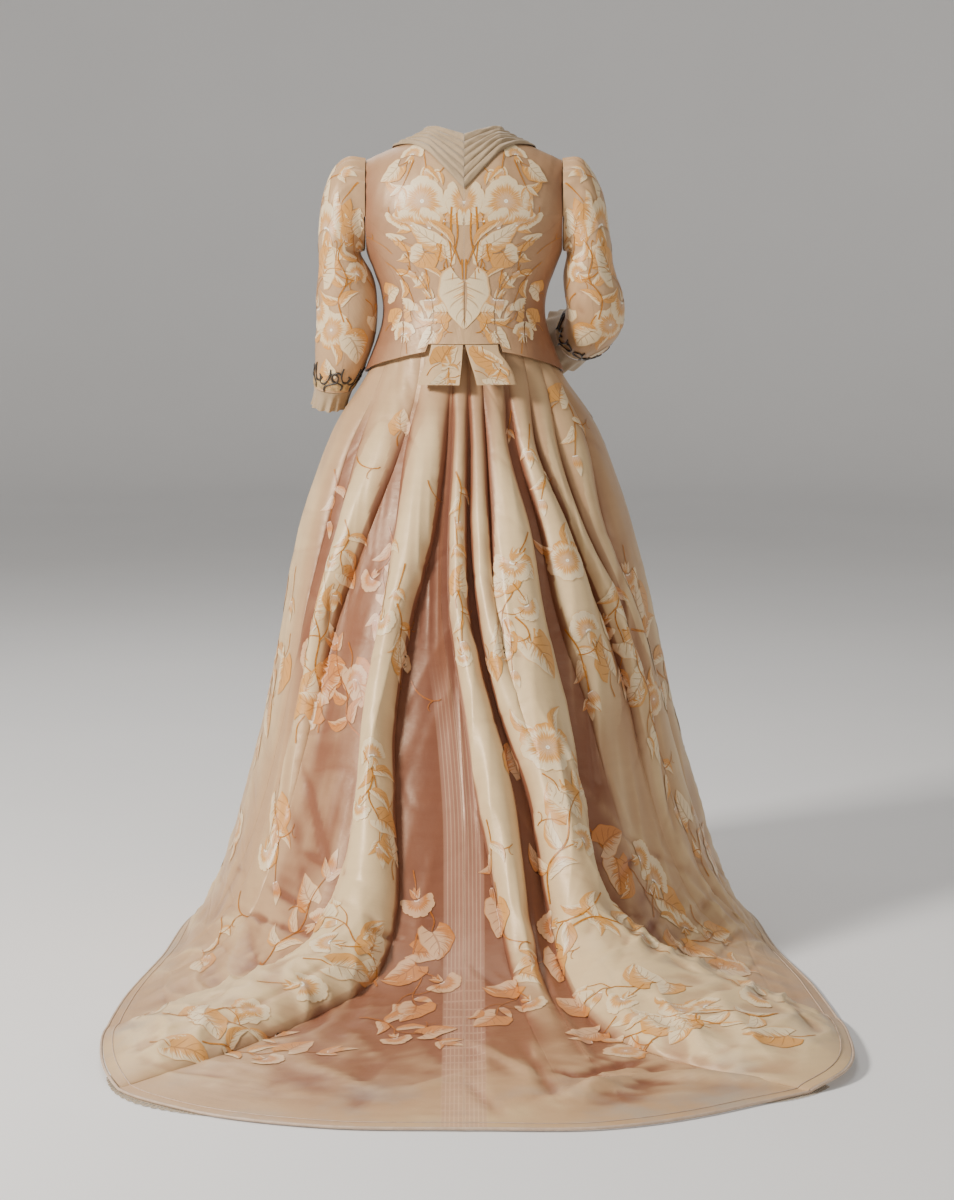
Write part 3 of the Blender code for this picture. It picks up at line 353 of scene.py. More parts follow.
def by_side(place, index):
    left = looked_up(SKIRT_LEFT, np.abs(place), index)
    right = looked_up(SKIRT_RIGHT, np.abs(place), index)
    return np.where(place >= 0, left, right)


def profile(way, index):
    return looked_up(SKIRT_PROFILES, way, index)


def skirt_base(place, way):
    """Points of the skirt without its folds."""
    angle = np.radians(by_side(place, 1)) * np.sign(place)
    waist_x = WAIST_HALF_WIDTH * np.sin(angle)
    waist_y = WAIST_HALF_DEPTH * np.cos(angle)
    back = np.clip(by_side(place, 4), 0, 1)
    front = np.clip(by_side(place, 5), 0, 1)
    side = 1 - back - front
    out = back * profile(way, 1) + side * profile(way, 3) + front * profile(way, 5)
    z = back * profile(way, 2) + side * profile(way, 4) + front * profile(way, 6)
    x = waist_x + (by_side(place, 2) - waist_x) * out
    y = waist_y + (by_side(place, 3) - waist_y) * out
    return np.stack([x, y, z], axis=-1)


def skirt_normal(place, way):
    """Direction out of the unfolded skirt."""
    small = 0.01
    across = skirt_base(place + small, way) - skirt_base(place - small, way)
    low = np.clip(way - small, 0, 1)
    high = np.clip(way + small, 0, 1)
    down = skirt_base(place, high) - skirt_base(place, low)
    return unit(np.cross(across, down))


def line_place(name, way):
    return curve(way, WAYS, LINES[name])


def fold_height(place, way):
    """How far the folds stand out from the unfolded skirt."""
    height = np.zeros_like(place)
    for left, right, peak, heights in FOLDS:
        first = line_place(left, way)
        last = line_place(right, way)
        across = np.clip((first - place) / (first - last), 0, 1)
        skewed = across ** (np.log(0.5) / np.log(peak))
        bump = (4 * skewed * (1 - skewed)) ** FOLD_STEEPNESS
        height += np.clip(curve(way, WAYS, heights), 0, None) * 0.001 * bump
    turn = np.clip((np.abs(place) - 0.6) / 0.4, 0, 1) * FRONT_FLUTES * np.pi
    return height + FRONT_FLUTE_DEPTH * way**0.7 * np.sin(turn) ** 2


def skirt_point(place, way):
    return skirt_base(place, way) + skirt_normal(place, way) * fold_height(place, way)[..., None]


def strip_places(first, last, count):
    """Places of the points inside a strip, closer together near its edges."""
    share = 0.5 - 0.5 * np.cos(np.pi * np.arange(1, count + 1) / (count + 1))
    return [first + (last - first) * s for s in share]


def grid_normals(points, wrap):
    """Unit normals at the points of a grid, from the points around them."""
    if wrap:
        across = np.roll(points, -1, axis=1) - np.roll(points, 1, axis=1)
    else:
        across = np.gradient(points, axis=1)
    down = np.gradient(points, axis=0)
    return unit(np.cross(down, across))


def facing(normals, outward):
    """The same normals, each turned to the side that outward points to."""
    return normals * np.where(np.sum(normals * outward, axis=-1, keepdims=True) < 0, -1, 1)


# Bodice


def torso(angle, way):
    """A point of the bodice. Angle 0 is centre back. Way 0 is chest height at the back, 1 the
    shoulder, 2 chest height at the front; below 0 and above 2 it goes on down to the hem."""
    angle = np.radians(np.asarray(angle, float))
    way = np.asarray(way, float)
    over = np.clip(way, 0, 2) * np.pi / 2
    below = np.where(way < 0, -way, np.where(way > 2, way - 2, 0))
    z_low = CHEST_HEIGHT - below * (NECK_TOP - CHEST_HEIGHT)
    half_width = looked_up(TORSO, z_low, 1)
    back = looked_up(TORSO, z_low, 2)
    front = looked_up(TORSO, z_low, 3)
    x = half_width * np.sin(angle)
    slope = (SHOULDER_TOP - NECK_TOP) / (ARMHOLE_X - NECK_HALF_WIDTH)
    top = NECK_TOP + slope * np.clip(np.abs(x) - NECK_HALF_WIDTH, 0, None)
    z = np.where(below > 0, z_low, CHEST_HEIGHT + (top - CHEST_HEIGHT) * np.sin(over))
    depth = np.where(np.cos(angle) * np.cos(over) >= 0, back, front)
    y = depth * np.cos(angle) * np.cos(over)
    return np.stack([x, y, z], axis=-1)


def way_of_height(z):
    return (z - CHEST_HEIGHT) / (NECK_TOP - CHEST_HEIGHT)


def ring(angle, z):
    """A point of the bodice at or below chest height, at an angle from 0 at the back to 180."""
    return torso(angle, np.minimum(way_of_height(z), 0))


def torso_normal(angle, way):
    small = 0.01
    across = torso(angle + small * 50, way) - torso(angle - small * 50, way)
    up = torso(angle, way + small) - torso(angle, way - small)
    normal = unit(np.cross(across, up))
    point = torso(angle, way)
    outward = point - np.array([0, 0, 1.2])
    outward[..., 2] *= 0.6
    return facing(normal, outward)


def seam_angle(index, z):
    return looked_up(SEAM_ANGLES, z, index)


def hem_height(angle):
    return looked_up(PEPLUM_HEM, angle, 1)


def armhole_angle(z):
    """Angle from centre back where the armhole starts at a height; 90 below the armhole."""
    half_width = looked_up(TORSO, z, 1)
    return np.degrees(np.arcsin(np.clip(ARMHOLE_X / half_width, 0, 1)))


def seam_shift(points, first_row, last_row, first_column, last_column):
    """Moves the named edges of a grid inwards by half of a seam's gap."""
    moved = points.copy()
    half = SEAM_GAP / 2
    if first_column:
        moved[:, 0] += unit(points[:, 1] - points[:, 0]) * half
    if last_column:
        moved[:, -1] += unit(points[:, -2] - points[:, -1]) * half
    if first_row:
        moved[0] += unit(points[1] - points[0]) * half
    if last_row:
        moved[-1] += unit(points[-2] - points[-1]) * half
    return moved


def wall(points, normals, thickness, wrap=False):
    """Vertices and faces of a cloth wall whose outer side is the grid of points. Both sides of a
    square are cut along the same diagonal, so that they never cross."""
    rows, columns = points.shape[:2]
    inner = points - normals * thickness
    vertices = np.concatenate([points.reshape(-1, 3), inner.reshape(-1, 3)])
    offset = rows * columns
    faces = []
    spans = columns if wrap else columns - 1
    for r in range(rows - 1):
        for c in range(spans):
            d = (c + 1) % columns
            quad = [r * columns + c, r * columns + d, (r + 1) * columns + d, (r + 1) * columns + c]
            across, along = vertices[quad[0]] - vertices[quad[2]], vertices[quad[1]] - vertices[quad[3]]
            if np.dot(along, along) < np.dot(across, across):
                quad = quad[1:] + quad[:1]
            for triangle in (quad[:3], quad[2:] + quad[:1]):
                faces.append(tuple(triangle))
                faces.append(tuple(offset + i for i in reversed(triangle)))
    for c in range(spans):
        d = (c + 1) % columns
        last = (rows - 1) * columns
        faces.append((d, c, offset + c, offset + d))
        faces.append((last + c, last + d, offset + last + d, offset + last + c))
    if not wrap:
        for r in range(rows - 1):
            a, b = r * columns, (r + 1) * columns
            faces.append((a, b, offset + b, offset + a))
            a, b = a + columns - 1, b + columns - 1
            faces.append((b, a, offset + a, offset + b))
    return vertices, faces


def mirrored(points, side):
    return points * np.array([side, 1, 1])


def body_angles(rows, first, last, count):
    """Angles of a panel's points: at every row, evenly spread from its first to its last edge."""
    share = np.linspace(0, 1, count)
    first = np.broadcast_to(first, rows.shape)[:, None]
    last = np.broadcast_to(last, rows.shape)[:, None]
    return first + (last - first) * share[None, :]


def with_hem(rows, angles, hem_first, hem_last):
    """Adds the row of points along the hem to a panel; returns its angles and ways."""
    hem = np.linspace(hem_first, hem_last, angles.shape[1])[None]
    ways = np.repeat(way_of_height(rows)[:, None], angles.shape[1], axis=1)
    return np.concatenate([hem, angles]), np.concatenate([way_of_height(hem_height(hem)), ways])


def with_shoulder(angles, ways, edge_angle, neck_way):
    """Adds the rows above chest height, up to the shoulder seam and the neck."""
    across = np.linspace(0, edge_angle, angles.shape[1])
    neck_end = np.degrees(np.arcsin(NECK_HALF_WIDTH / TORSO[-1][1]))
    top = np.interp(across, [0, neck_end], [neck_way, 1.0])
    upper_ways = np.array(SHOULDER_ROWS)[:, None] * top[None, :]
    upper_angles = np.repeat(across[None], len(upper_ways), axis=0)
    return np.concatenate([angles, upper_angles]), np.concatenate([ways, upper_ways])


def tail_path(vent, edge, spacing):
    """Across a tail from its vent: the top layer, a fold at the edge, and two layers under it."""
    radius = spacing / 2
    under = edge - TAIL_UNDERLAP
    turn = np.radians(TAIL_TURN_DEG)[::-1]
    top = [(x, 0.0) for x in np.linspace(vent, edge - radius, TAIL_TOP_POINTS)]
    fold = [(edge - radius + radius * np.cos(a), -radius + radius * np.sin(a)) for a in turn]
    middle = np.linspace(edge - radius, under + radius, TAIL_UNDER_POINTS)
    back = [(under + radius - radius * np.cos(a), radius * np.sin(a) - radius - spacing) for a in turn]
    last = np.linspace(under + radius, edge - TAIL_INNER_STEP, TAIL_UNDER_POINTS)
    layers = top + fold + [(x, -spacing) for x in middle] + back
    return np.array(layers + [(x, -2 * spacing) for x in last])


def section_frames(head, arm, side):
    """Centre, outward axis, depth axis and half sizes of each section of a sleeve."""
    sections = []
    for turn_deg, reach, half_depth in head:
        turn = np.radians(turn_deg)
        outward = np.array([side * np.sin(turn), 0, np.cos(turn)])
        forward = np.interp(turn_deg, (0, 90), HEAD_SHIFT)
        armpit = np.array([side * ARMPIT_X, forward, ARMPIT_Z])
        centre = armpit + outward * (reach + ARMPIT_INSET) / 2
        half_width = (reach - ARMPIT_INSET) / 2
        sections.append((centre, outward, np.array([0, 1.0, 0]), half_width, half_depth))
    sections += arm_frames(arm, side)
    return sections


def arm_frames(arm, side):
    sections = []
    for x, y, z, ax, ay, az, half_width, half_depth in arm:
        along = unit(np.array([ax, ay, az], float))
        outward = np.array([side, 0, 0], float)
        outward = unit(outward - along * np.dot(along, outward))
        deep = unit(np.cross(along, outward)) * side
        deep = deep * (1 if np.dot(deep, (0, 1, -1)) > 0 else -1)
        sections.append((np.array([x, y, z]), outward, deep, half_width, half_depth))
    return sections


def sleeve_ring(section, angles, ripple):
    centre, outward, deep, half_width, half_depth = section
    turn = np.radians(angles)
    reach = 1 + ripple
    across = outward[None] * (half_width * np.cos(turn) * reach)[:, None]
    through = deep[None] * (half_depth * np.sin(turn) * reach)[:, None]
    return centre[None] + across + through


def clear_of_torso(points, side, margin):
    """Moves points of a sleeve out sideways until they are just clear of the bodice."""
    z = np.clip(points[..., 2], TORSO[0][0], CHEST_HEIGHT)
    half_width = looked_up(TORSO, z, 1)
    back = looked_up(TORSO, z, 2)
    front = looked_up(TORSO, z, 3)
    depth = np.where(points[..., 1] >= 0, back, front)
    edge = half_width * np.sqrt(np.clip(1 - (points[..., 1] / depth) ** 2, 0, 1))
    free = np.where(points[..., 2] < CHEST_HEIGHT, edge + margin, 0)
    moved = points.copy()
    moved[..., 0] = side * np.maximum(points[..., 0] * side, free)
    return moved


def collar_point(along, across):
    """Angle, way and stand-off of a point of the collar, across from its neck edge."""
    keys = column(COLLAR, 0)
    inner_angle, inner_way, outer_angle, outer_way = (
        curve(along, keys, column(COLLAR, index)) for index in (1, 2, 3, 4)
    )
    angle = inner_angle * (1 - across) + outer_angle * across
    way = inner_way * (1 - across) + outer_way * across
    pleat = COLLAR_PLEAT_DEPTH * np.abs(np.sin(np.pi * COLLAR_PLEATS * across)) ** 0.8
    neck = COLLAR_STAND * np.clip(1 - across / COLLAR_STAND_WIDTH, 0, 1) ** 2
    return angle, way, SEAM_GAP + GAUZE + COLLAR_LIFT + pleat + neck


# Finer sizes of the shells
STRIP_FINER = 7
FINE_FRONT_POINTS = 50
SKIRT_FINE_ROWS = 330
WELT_UP = 0.017
WOVEN_LIFT = 0.0006
LAYER_LIFT = 0.00006
STEM_REPEAT = 0.05
CREASE_GAIN = 2.2
RIPPLE_SMALL, RIPPLE_BROAD, RIPPLE_ACROSS = 0.0006, 0.0010, 0.0009
CRUMPLE_FIRST, CRUMPLE_SECOND, CRUMPLE_UPPER = 0.0074, 0.0064, 0.0034
FLOOR_CLEAR = 0.0006
SATIN_SHELL = 0.0011
THIN_SHELL = 0.0007
BAND_SHELL = 0.0012
BODICE_RIPPLE = 0.00035
BODICE_RELIEF_MOST = 0.0008
TRIM_RADIUS = 0.0017
WELT_RADIUS = 0.0009
ROWS_PER_SECTION = 9
SPRAY_REACH = 0.006

# The camera of the view from behind
CAMERA_BACK = 5.0
CAMERA_UP = 1.25
CAMERA_DOWN_DEG = 7.733
LENS = 85.5
VIEW_HEIGHT, VIEW_CENTRE, VIEW_AXIS = 1200, 477, 464

# Soft creases of the skirt: place and way of each end, half width, depth (below 0 a trough)
CREASES = (
    # place_1, way_1, place_2, way_2, width, depth
    (-0.074, 0.942, -0.165, 0.918, 0.0160, 0.0060),
    (-0.165, 0.918, -0.239, 0.988, 0.0160, 0.0050),
    (-0.096, 0.896, -0.165, 0.884, 0.0120, -0.0050),
    (-0.162, 0.772, -0.181, 0.882, 0.0070, 0.0032),
    (-0.114, 0.752, -0.119, 0.866, 0.0070, 0.0030),
    (0.226, 0.852, 0.168, 0.736, 0.0060, -0.0030),
    (0.279, 0.968, 0.220, 0.860, 0.0060, -0.0030),
    (0.273, 0.892, 0.256, 0.822, 0.0060, -0.0026),
    (0.161, 0.772, 0.077, 0.870, 0.0070, 0.0030),
    (0.463, 0.686, 0.276, 0.628, 0.0060, -0.0024),
    (0.435, 0.732, 0.274, 0.662, 0.0060, -0.0022),
    (0.403, 0.784, 0.228, 0.758, 0.0060, -0.0024),
    (-0.462, 0.678, -0.539, 0.900, 0.0060, -0.0026),
    (-0.463, 0.622, -0.554, 0.834, 0.0060, -0.0022),
    (-0.238, 0.684, -0.253, 0.806, 0.0060, -0.0026),
    (-0.360, 0.660, -0.407, 0.822, 0.0060, -0.0024),
    (-0.005, 0.828, -0.064, 0.898, 0.0090, 0.0025),
    (0.050, 0.930, -0.004, 0.888, 0.0090, 0.0022),
    (0.147, 0.882, 0.066, 0.930, 0.0090, 0.0024),
    (-0.278, 0.540, -0.422, 0.660, 0.0060, -0.0020),
    (0.316, 0.570, 0.153, 0.600, 0.0060, -0.0020),
    (-0.182, 0.834, -0.466, 0.748, 0.0090, -0.0040),
    (-0.191, 0.858, -0.442, 0.834, 0.0070, -0.0030),
    (-0.171, 0.782, -0.347, 0.660, 0.0080, -0.0035),
    (-0.229, 0.852, -0.408, 0.878, 0.0070, -0.0030),
    (-0.193, 0.752, -0.339, 0.620, 0.0070, -0.0025),
    (-0.171, 0.678, -0.324, 0.574, 0.0080, -0.0030),
    (0.134, 0.662, 0.098, 0.652, 0.0060, -0.0040),
    (0.148, 0.698, 0.117, 0.676, 0.0060, 0.0025),
    (0.176, 0.626, 0.125, 0.650, 0.0070, -0.0030),
    (0.259, 0.658, 0.150, 0.722, 0.0070, -0.0025),
    (0.321, 0.742, 0.180, 0.778, 0.0070, -0.0025),
    (0.355, 0.832, 0.211, 0.830, 0.0070, -0.0020),
    (0.032, 0.268, -0.010, 0.266, 0.0040, -0.0015),
    (0.035, 0.296, -0.005, 0.300, 0.0040, -0.0012),
    (0.023, 0.334, -0.009, 0.342, 0.0040, -0.0012),
    (-0.088, 0.258, -0.135, 0.268, 0.0050, -0.0015),
    (-0.076, 0.348, -0.133, 0.356, 0.0050, -0.0015),
    (-0.082, 0.886, -0.152, 0.930, 0.0080, -0.0040),
    (-0.085, 0.926, -0.139, 0.942, 0.0090, 0.0030),
    (-0.153, 0.926, -0.228, 0.952, 0.0090, 0.0030),
    (-0.127, 0.866, -0.168, 0.910, 0.0070, -0.0030),
    (-0.006, 0.680, -0.072, 0.750, 0.0090, -0.0025),
    (0.071, 0.712, 0.021, 0.868, 0.0090, -0.0025),
    (-0.057, 0.828, -0.073, 0.950, 0.0090, -0.0025),
    (0.085, 0.830, 0.082, 0.972, 0.0090, -0.0025),
    (-0.005, 0.910, -0.026, 0.980, 0.0090, -0.0020),
    (0.368, 0.484, 0.229, 0.588, 0.0080, -0.0020),
    (0.378, 0.532, 0.279, 0.622, 0.0080, -0.0020),
    (0.364, 0.268, 0.331, 0.408, 0.0080, -0.0018),
    (-0.428, 0.276, -0.398, 0.426, 0.0080, -0.0020),
    (-0.450, 0.446, -0.421, 0.612, 0.0080, -0.0022),
    (-0.267, 0.402, -0.251, 0.504, 0.0070, -0.0020),
    (-0.201, 0.916, -0.249, 0.940, 0.0080, -0.0025),
    (-0.298, 0.896, -0.288, 0.956, 0.0080, -0.0025),
    (0.257, 0.958, 0.192, 0.930, 0.0080, -0.0025),
    (0.288, 0.978, 0.263, 0.920, 0.0070, -0.0020),
)

# Woven sprays of the skirt
SPRAYS = (
    # kind, place, way, turn_deg, size
    ("cluster", 0.363, 0.364, -153, 0.84),
    ("leaf", 0.372, 0.434, 178, 1.14),
    ("leaf", 0.272, 0.368, 30, 1.06),
    ("garland", 0.283, 0.390, -150, 0.70),
    ("bud", 0.483, 0.336, 19, 1.06),
    ("garland", 0.215, 0.272, -3, 0.66),
    ("sprig", 0.146, 0.338, 17, 0.88),
    ("bud", 0.153, 0.292, 6, 0.88),
    ("leaf", 0.142, 0.362, -160, 0.79),
    ("fan", 0.178, 0.322, 29, 0.62),
    ("sprig", 0.017, 0.198, 6, 0.79),
    ("bud", 0.018, 0.244, 11, 0.97),
    ("leaf", 0.010, 0.288, 170, 0.70),
    ("sprig", 0.009, 0.318, 0, 0.79),
    ("fan", 0.004, 0.352, 10, 0.44),
    ("fan", -0.120, 0.262, -26, 0.88),
    ("cluster", -0.100, 0.300, -14, 0.66),
    ("leaf", -0.140, 0.342, 24, 1.06),
    ("sprig", -0.100, 0.348, -3, 0.79),
    ("leaf", -0.060, 0.354, 9, 0.62),
    ("bloom", -0.150, 0.448, -7, 1.10),
    ("leaf", -0.159, 0.496, 32, 0.88),
    ("bloom", -0.258, 0.262, 10, 0.92),
    ("fan", -0.276, 0.334, -167, 0.79),
    ("sprig", -0.260, 0.366, 6, 0.97),
    ("bud", -0.267, 0.402, -5, 0.97),
    ("garland", -0.382, 0.336, -22, 0.79),
    ("fan", -0.459, 0.298, -8, 0.70),
    ("leaf", -0.332, 0.380, -179, 0.97),
    ("cluster", -0.419, 0.436, 10, 0.66),
    ("tendril", -0.296, 0.346, 23, 1.06),
    ("bloom", -0.450, 0.446, 10, 0.70),
    ("garland", -0.158, 0.542, 142, 0.84),
    ("cluster", -0.297, 0.602, 42, 0.84),
    ("garland", -0.223, 0.678, 71, 0.79),
    ("tendril", -0.393, 0.696, -60, 1.06),
    ("fan", -0.339, 0.620, 131, 0.97),
    ("leaf", -0.342, 0.794, 25, 0.97),
    ("cluster", -0.363, 0.744, 74, 0.66),
    ("sprig", -0.478, 0.658, 153, 0.88),
    ("leaf", -0.281, 0.842, -2, 0.88),
    ("bloom", -0.367, 0.822, -58, 0.79),
    ("cluster", 0.154, 0.676, -109, 0.75),
    ("garland", 0.266, 0.646, 169, 0.79),
    ("fan", 0.188, 0.784, 133, 0.88),
    ("spray", 0.231, 0.872, 134, 0.79),
    ("leaf", 0.253, 0.932, 122, 0.97),
    ("tendril", 0.305, 0.730, 71, 1.14),
    ("leaf", 0.167, 0.742, 117, 0.97),
    ("fan", 0.319, 0.922, 123, 0.79),
    ("leaf", 0.393, 0.826, 84, 0.79),
    ("sprig", 0.403, 0.784, 64, 0.88),
    ("garland", -0.143, 0.660, -68, 0.79),
    ("cluster", -0.180, 0.790, -112, 0.75),
    ("garland", -0.225, 0.878, -142, 0.84),
    ("leaf", -0.258, 0.938, -129, 0.97),
    ("tendril", -0.247, 0.754, 150, 1.06),
    ("fan", -0.272, 0.878, -130, 0.79),
    ("bloom", -0.210, 0.858, -43, 0.79),
    ("leaf", -0.145, 0.818, -93, 0.88),
    ("cluster", 0.063, 0.720, 20, 0.75),
    ("garland", 0.063, 0.808, 56, 0.70),
    ("leaf", 0.050, 0.640, 14, 0.88),
    ("cluster", -0.056, 0.748, -22, 0.70),
    ("leaf", -0.054, 0.608, -13, 0.88),
    ("fan", 0.077, 0.602, 15, 0.70),
    ("garland", 0.186, 0.876, 117, 0.75),
    ("spray", -0.178, 0.858, -127, 0.79),
    ("leaf", 0.403, 0.544, 23, 1.06),
    ("sprig", 0.376, 0.592, 36, 1.06),
    ("fan", 0.164, 0.458, -162, 0.70),
    ("garland", 0.153, 0.504, 8, 0.66),
    ("leaf", 0.120, 0.560, -176, 0.79),
    ("tendril", 0.120, 0.374, 15, 0.97),
    ("leaf", -0.090, 0.464, 164, 0.79),
    ("sprig", -0.046, 0.558, -12, 0.97),
    ("tendril", -0.059, 0.638, 6, 1.06),
    ("garland", 0.336, 0.264, 6, 0.53),
    ("sprig", 0.424, 0.204, 13, 0.79),
    ("tendril", 0.375, 0.154, 26, 0.97),
    ("leaf", 0.230, 0.124, -172, 0.62),
    ("sprig", -0.394, 0.128, -9, 0.97),
    ("leaf", -0.384, 0.092, 138, 0.70),
    ("bud", -0.164, 0.122, -6, 0.70),
    ("tendril", 0.108, 0.178, 6, 0.79),
    ("sprig", -0.234, 0.180, -22, 0.79),
    ("bud", -0.210, 0.148, -10, 0.97),
    ("leaf", -0.480, 0.322, 1, 0.88),
    ("sprig", -0.439, 0.542, -5, 0.97),
    ("leaf", -0.467, 0.616, -176, 0.88),
    ("fan", 0.395, 0.604, 16, 0.70),
    ("tendril", 0.423, 0.688, 36, 1.06),
    ("leaf", 0.470, 0.401, -2, 0.97),
    ("garland", 0.517, 0.454, 3, 0.88),
    ("bloom", 0.507, 0.656, 175, 0.80),
    ("fan", 0.598, 0.120, -7, 0.97),
    ("leaf", 0.559, 0.330, 8, 0.88),
    ("tendril", 0.557, 0.605, 170, 0.80),
    ("garland", 0.599, 0.689, 10, 1.05),
    ("leaf", 0.669, 0.279, 165, 0.80),
    ("garland", 0.620, 0.469, 15, 1.05),
    ("bloom", 0.671, 0.774, -16, 0.97),
    ("fan", 0.737, 0.215, 161, 0.80),
    ("leaf", 0.790, 0.398, 19, 1.05),
    ("tendril", 0.744, 0.451, -20, 0.97),
    ("garland", 0.752, 0.660, 21, 0.88),
    ("leaf", 0.880, 0.404, -23, 0.97),
    ("garland", 0.885, 0.567, 24, 0.88),
    ("bloom", 0.841, 0.624, 154, 0.80),
    ("fan", 0.967, 0.120, -26, 0.97),
    ("leaf", 0.950, 0.273, 27, 0.88),
    ("tendril", 1.000, 0.581, 152, 0.80),
    ("garland", 0.950, 0.751, 28, 1.05),
    ("leaf", -0.471, 0.346, 150, 0.80),
    ("garland", -0.514, 0.435, 29, 1.05),
    ("bloom", -0.510, 0.716, -29, 0.97),
    ("fan", -0.597, 0.120, 150, 0.80),
    ("leaf", -0.562, 0.389, 29, 1.05),
    ("tendril", -0.554, 0.583, -29, 0.97),
    ("garland", -0.600, 0.635, 29, 0.88),
    ("leaf", -0.671, 0.255, -29, 0.97),
    ("garland", -0.620, 0.527, 29, 0.88),
    ("bloom", -0.669, 0.783, 151, 0.80),
    ("fan", -0.735, 0.244, -28, 0.97),
    ("leaf", -0.789, 0.341, 27, 0.88),
    ("tendril", -0.747, 0.436, 152, 0.80),
    ("garland", -0.748, 0.721, 26, 1.05),
    ("leaf", -0.877, 0.425, 155, 0.80),
    ("garland", -0.887, 0.507, 24, 1.05),
    ("bloom", -0.840, 0.618, -23, 0.97),
    ("fan", -0.970, 0.120, 158, 0.80),
    ("leaf", -0.948, 0.326, 20, 1.05),
    ("tendril", -1.000, 0.605, -19, 0.97),
    ("garland", -0.953, 0.693, 19, 0.88),
)

# Woven sprays of one half of the bodice back, as x from centre back and height
BODICE_SPRAYS = (
    # kind, x, z, turn_deg, size
    ("bloom", 0.072, 1.272, 200, 1.12),
    ("petal", 0.034, 1.236, 250, 0.95),
    ("petal", 0.058, 1.222, 205, 0.95),
    ("petal", 0.088, 1.226, 165, 0.80),
    ("halfbloom", 0.0, 1.262, 0, 1.10),
    ("stems", 0.006, 1.205, 0, 1.1),
    ("stems", 0.016, 1.165, 6, 0.9),
    ("halfleaf", 0.0, 1.140, 0, 1.15),
    ("leaf", 0.044, 1.196, 150, 0.75),
    ("leaf", 0.066, 1.184, 60, 0.70),
    ("leaf", 0.030, 1.172, 200, 0.55),
    ("fan", 0.112, 1.242, 20, 0.62),
    ("leaf", 0.104, 1.204, 110, 0.72),
    ("bud", 0.108, 1.290, 20, 1.0),
    ("bud", 0.062, 1.322, -15, 1.0),
    ("fan", 0.088, 1.350, 200, 0.55),
    ("leaf", 0.112, 1.330, 60, 0.62),
    ("bud", 0.043, 1.318, 25, 0.8),
    ("sprig", 0.098, 1.176, 20, 0.75),
    ("sprig", 0.066, 1.140, 10, 0.85),
    ("fan", 0.052, 1.104, -20, 0.60),
    ("sprig", 0.102, 1.128, -20, 0.80),
    ("leaf", 0.090, 1.082, 130, 0.70),
    ("tendril", 0.124, 1.180, 190, 0.8),
    ("tendril", 0.128, 1.262, 10, 0.7),
    ("sprig", 0.058, 1.066, 60, 0.70),
    ("leaf", 0.028, 1.080, 100, 0.55),
    ("leaf", 0.124, 1.060, 230, 0.55),
    ("fan", 0.100, 1.044, 160, 0.50),
    ("leaf", 0.050, 1.048, 30, 0.50),
    ("bud", 0.022, 1.120, 10, 0.7),
    ("leaf", 0.130, 1.110, 250, 0.55),
)
FRONT_SPRAYS = (
    # kind, x, z, turn_deg, size
    ("bloom", 0.070, 1.180, 20, 0.95),
    ("leaf", 0.050, 1.120, 160, 0.8),
    ("leaf", 0.102, 1.140, 250, 0.7),
    ("sprig", 0.060, 1.235, 0, 0.8),
    ("bud", 0.105, 1.235, -20, 0.9),
    ("leaf", 0.040, 1.045, 200, 0.7),
    ("sprig", 0.090, 1.055, 20, 0.7),
    ("bud", 0.080, 1.320, 10, 0.9),
    ("tendril", 0.025, 1.170, 30, 0.7),
    ("leaf", 0.120, 1.290, 80, 0.6),
)
SLEEVE_SPRAYS = (
    # kind, angle, share down, turn_deg, size
    ("leaf", 75, 0.20, 30, 0.95),
    ("fan", 55, 0.34, 190, 0.95),
    ("leaf", 20, 0.26, 200, 0.95),
    ("garland", 88, 0.55, 170, 0.60),
    ("leaf", 38, 0.56, 150, 0.95),
    ("tendril", 62, 0.50, 20, 0.9),
    ("bloom", 62, 0.74, 220, 0.85),
    ("fan", 20, 0.68, 20, 0.85),
    ("leaf", 100, 0.76, 20, 0.8),
    ("leaf", -40, 0.30, 160, 0.9),
    ("cluster", -60, 0.55, 30, 0.60),
    ("leaf", -30, 0.80, 250, 0.8),
    ("garland", 130, 0.42, 190, 0.55),
    ("leaf", 150, 0.70, 40, 0.8),
    ("leaf", -120, 0.60, 210, 0.8),
    ("bud", 105, 0.24, 300, 1.0),
    ("bud", 40, 0.14, 150, 1.0),
    ("leaf", -5, 0.45, 240, 0.7),
    ("leaf", 70, 0.90, 200, 0.5),
)


# Charts: fine grids of points on the cloth, with lengths along it


def lengths(points):
    """Lengths of cloth across a grid from its first column, and down it from its first row."""
    across = np.linalg.norm(np.diff(points, axis=1), axis=2)
    down = np.linalg.norm(np.diff(points, axis=0), axis=2)
    s = np.concatenate([np.zeros((len(points), 1)), np.cumsum(across, axis=1)], axis=1)
    return s, np.concatenate([np.zeros((1, points.shape[1])), np.cumsum(down, axis=0)], axis=0)


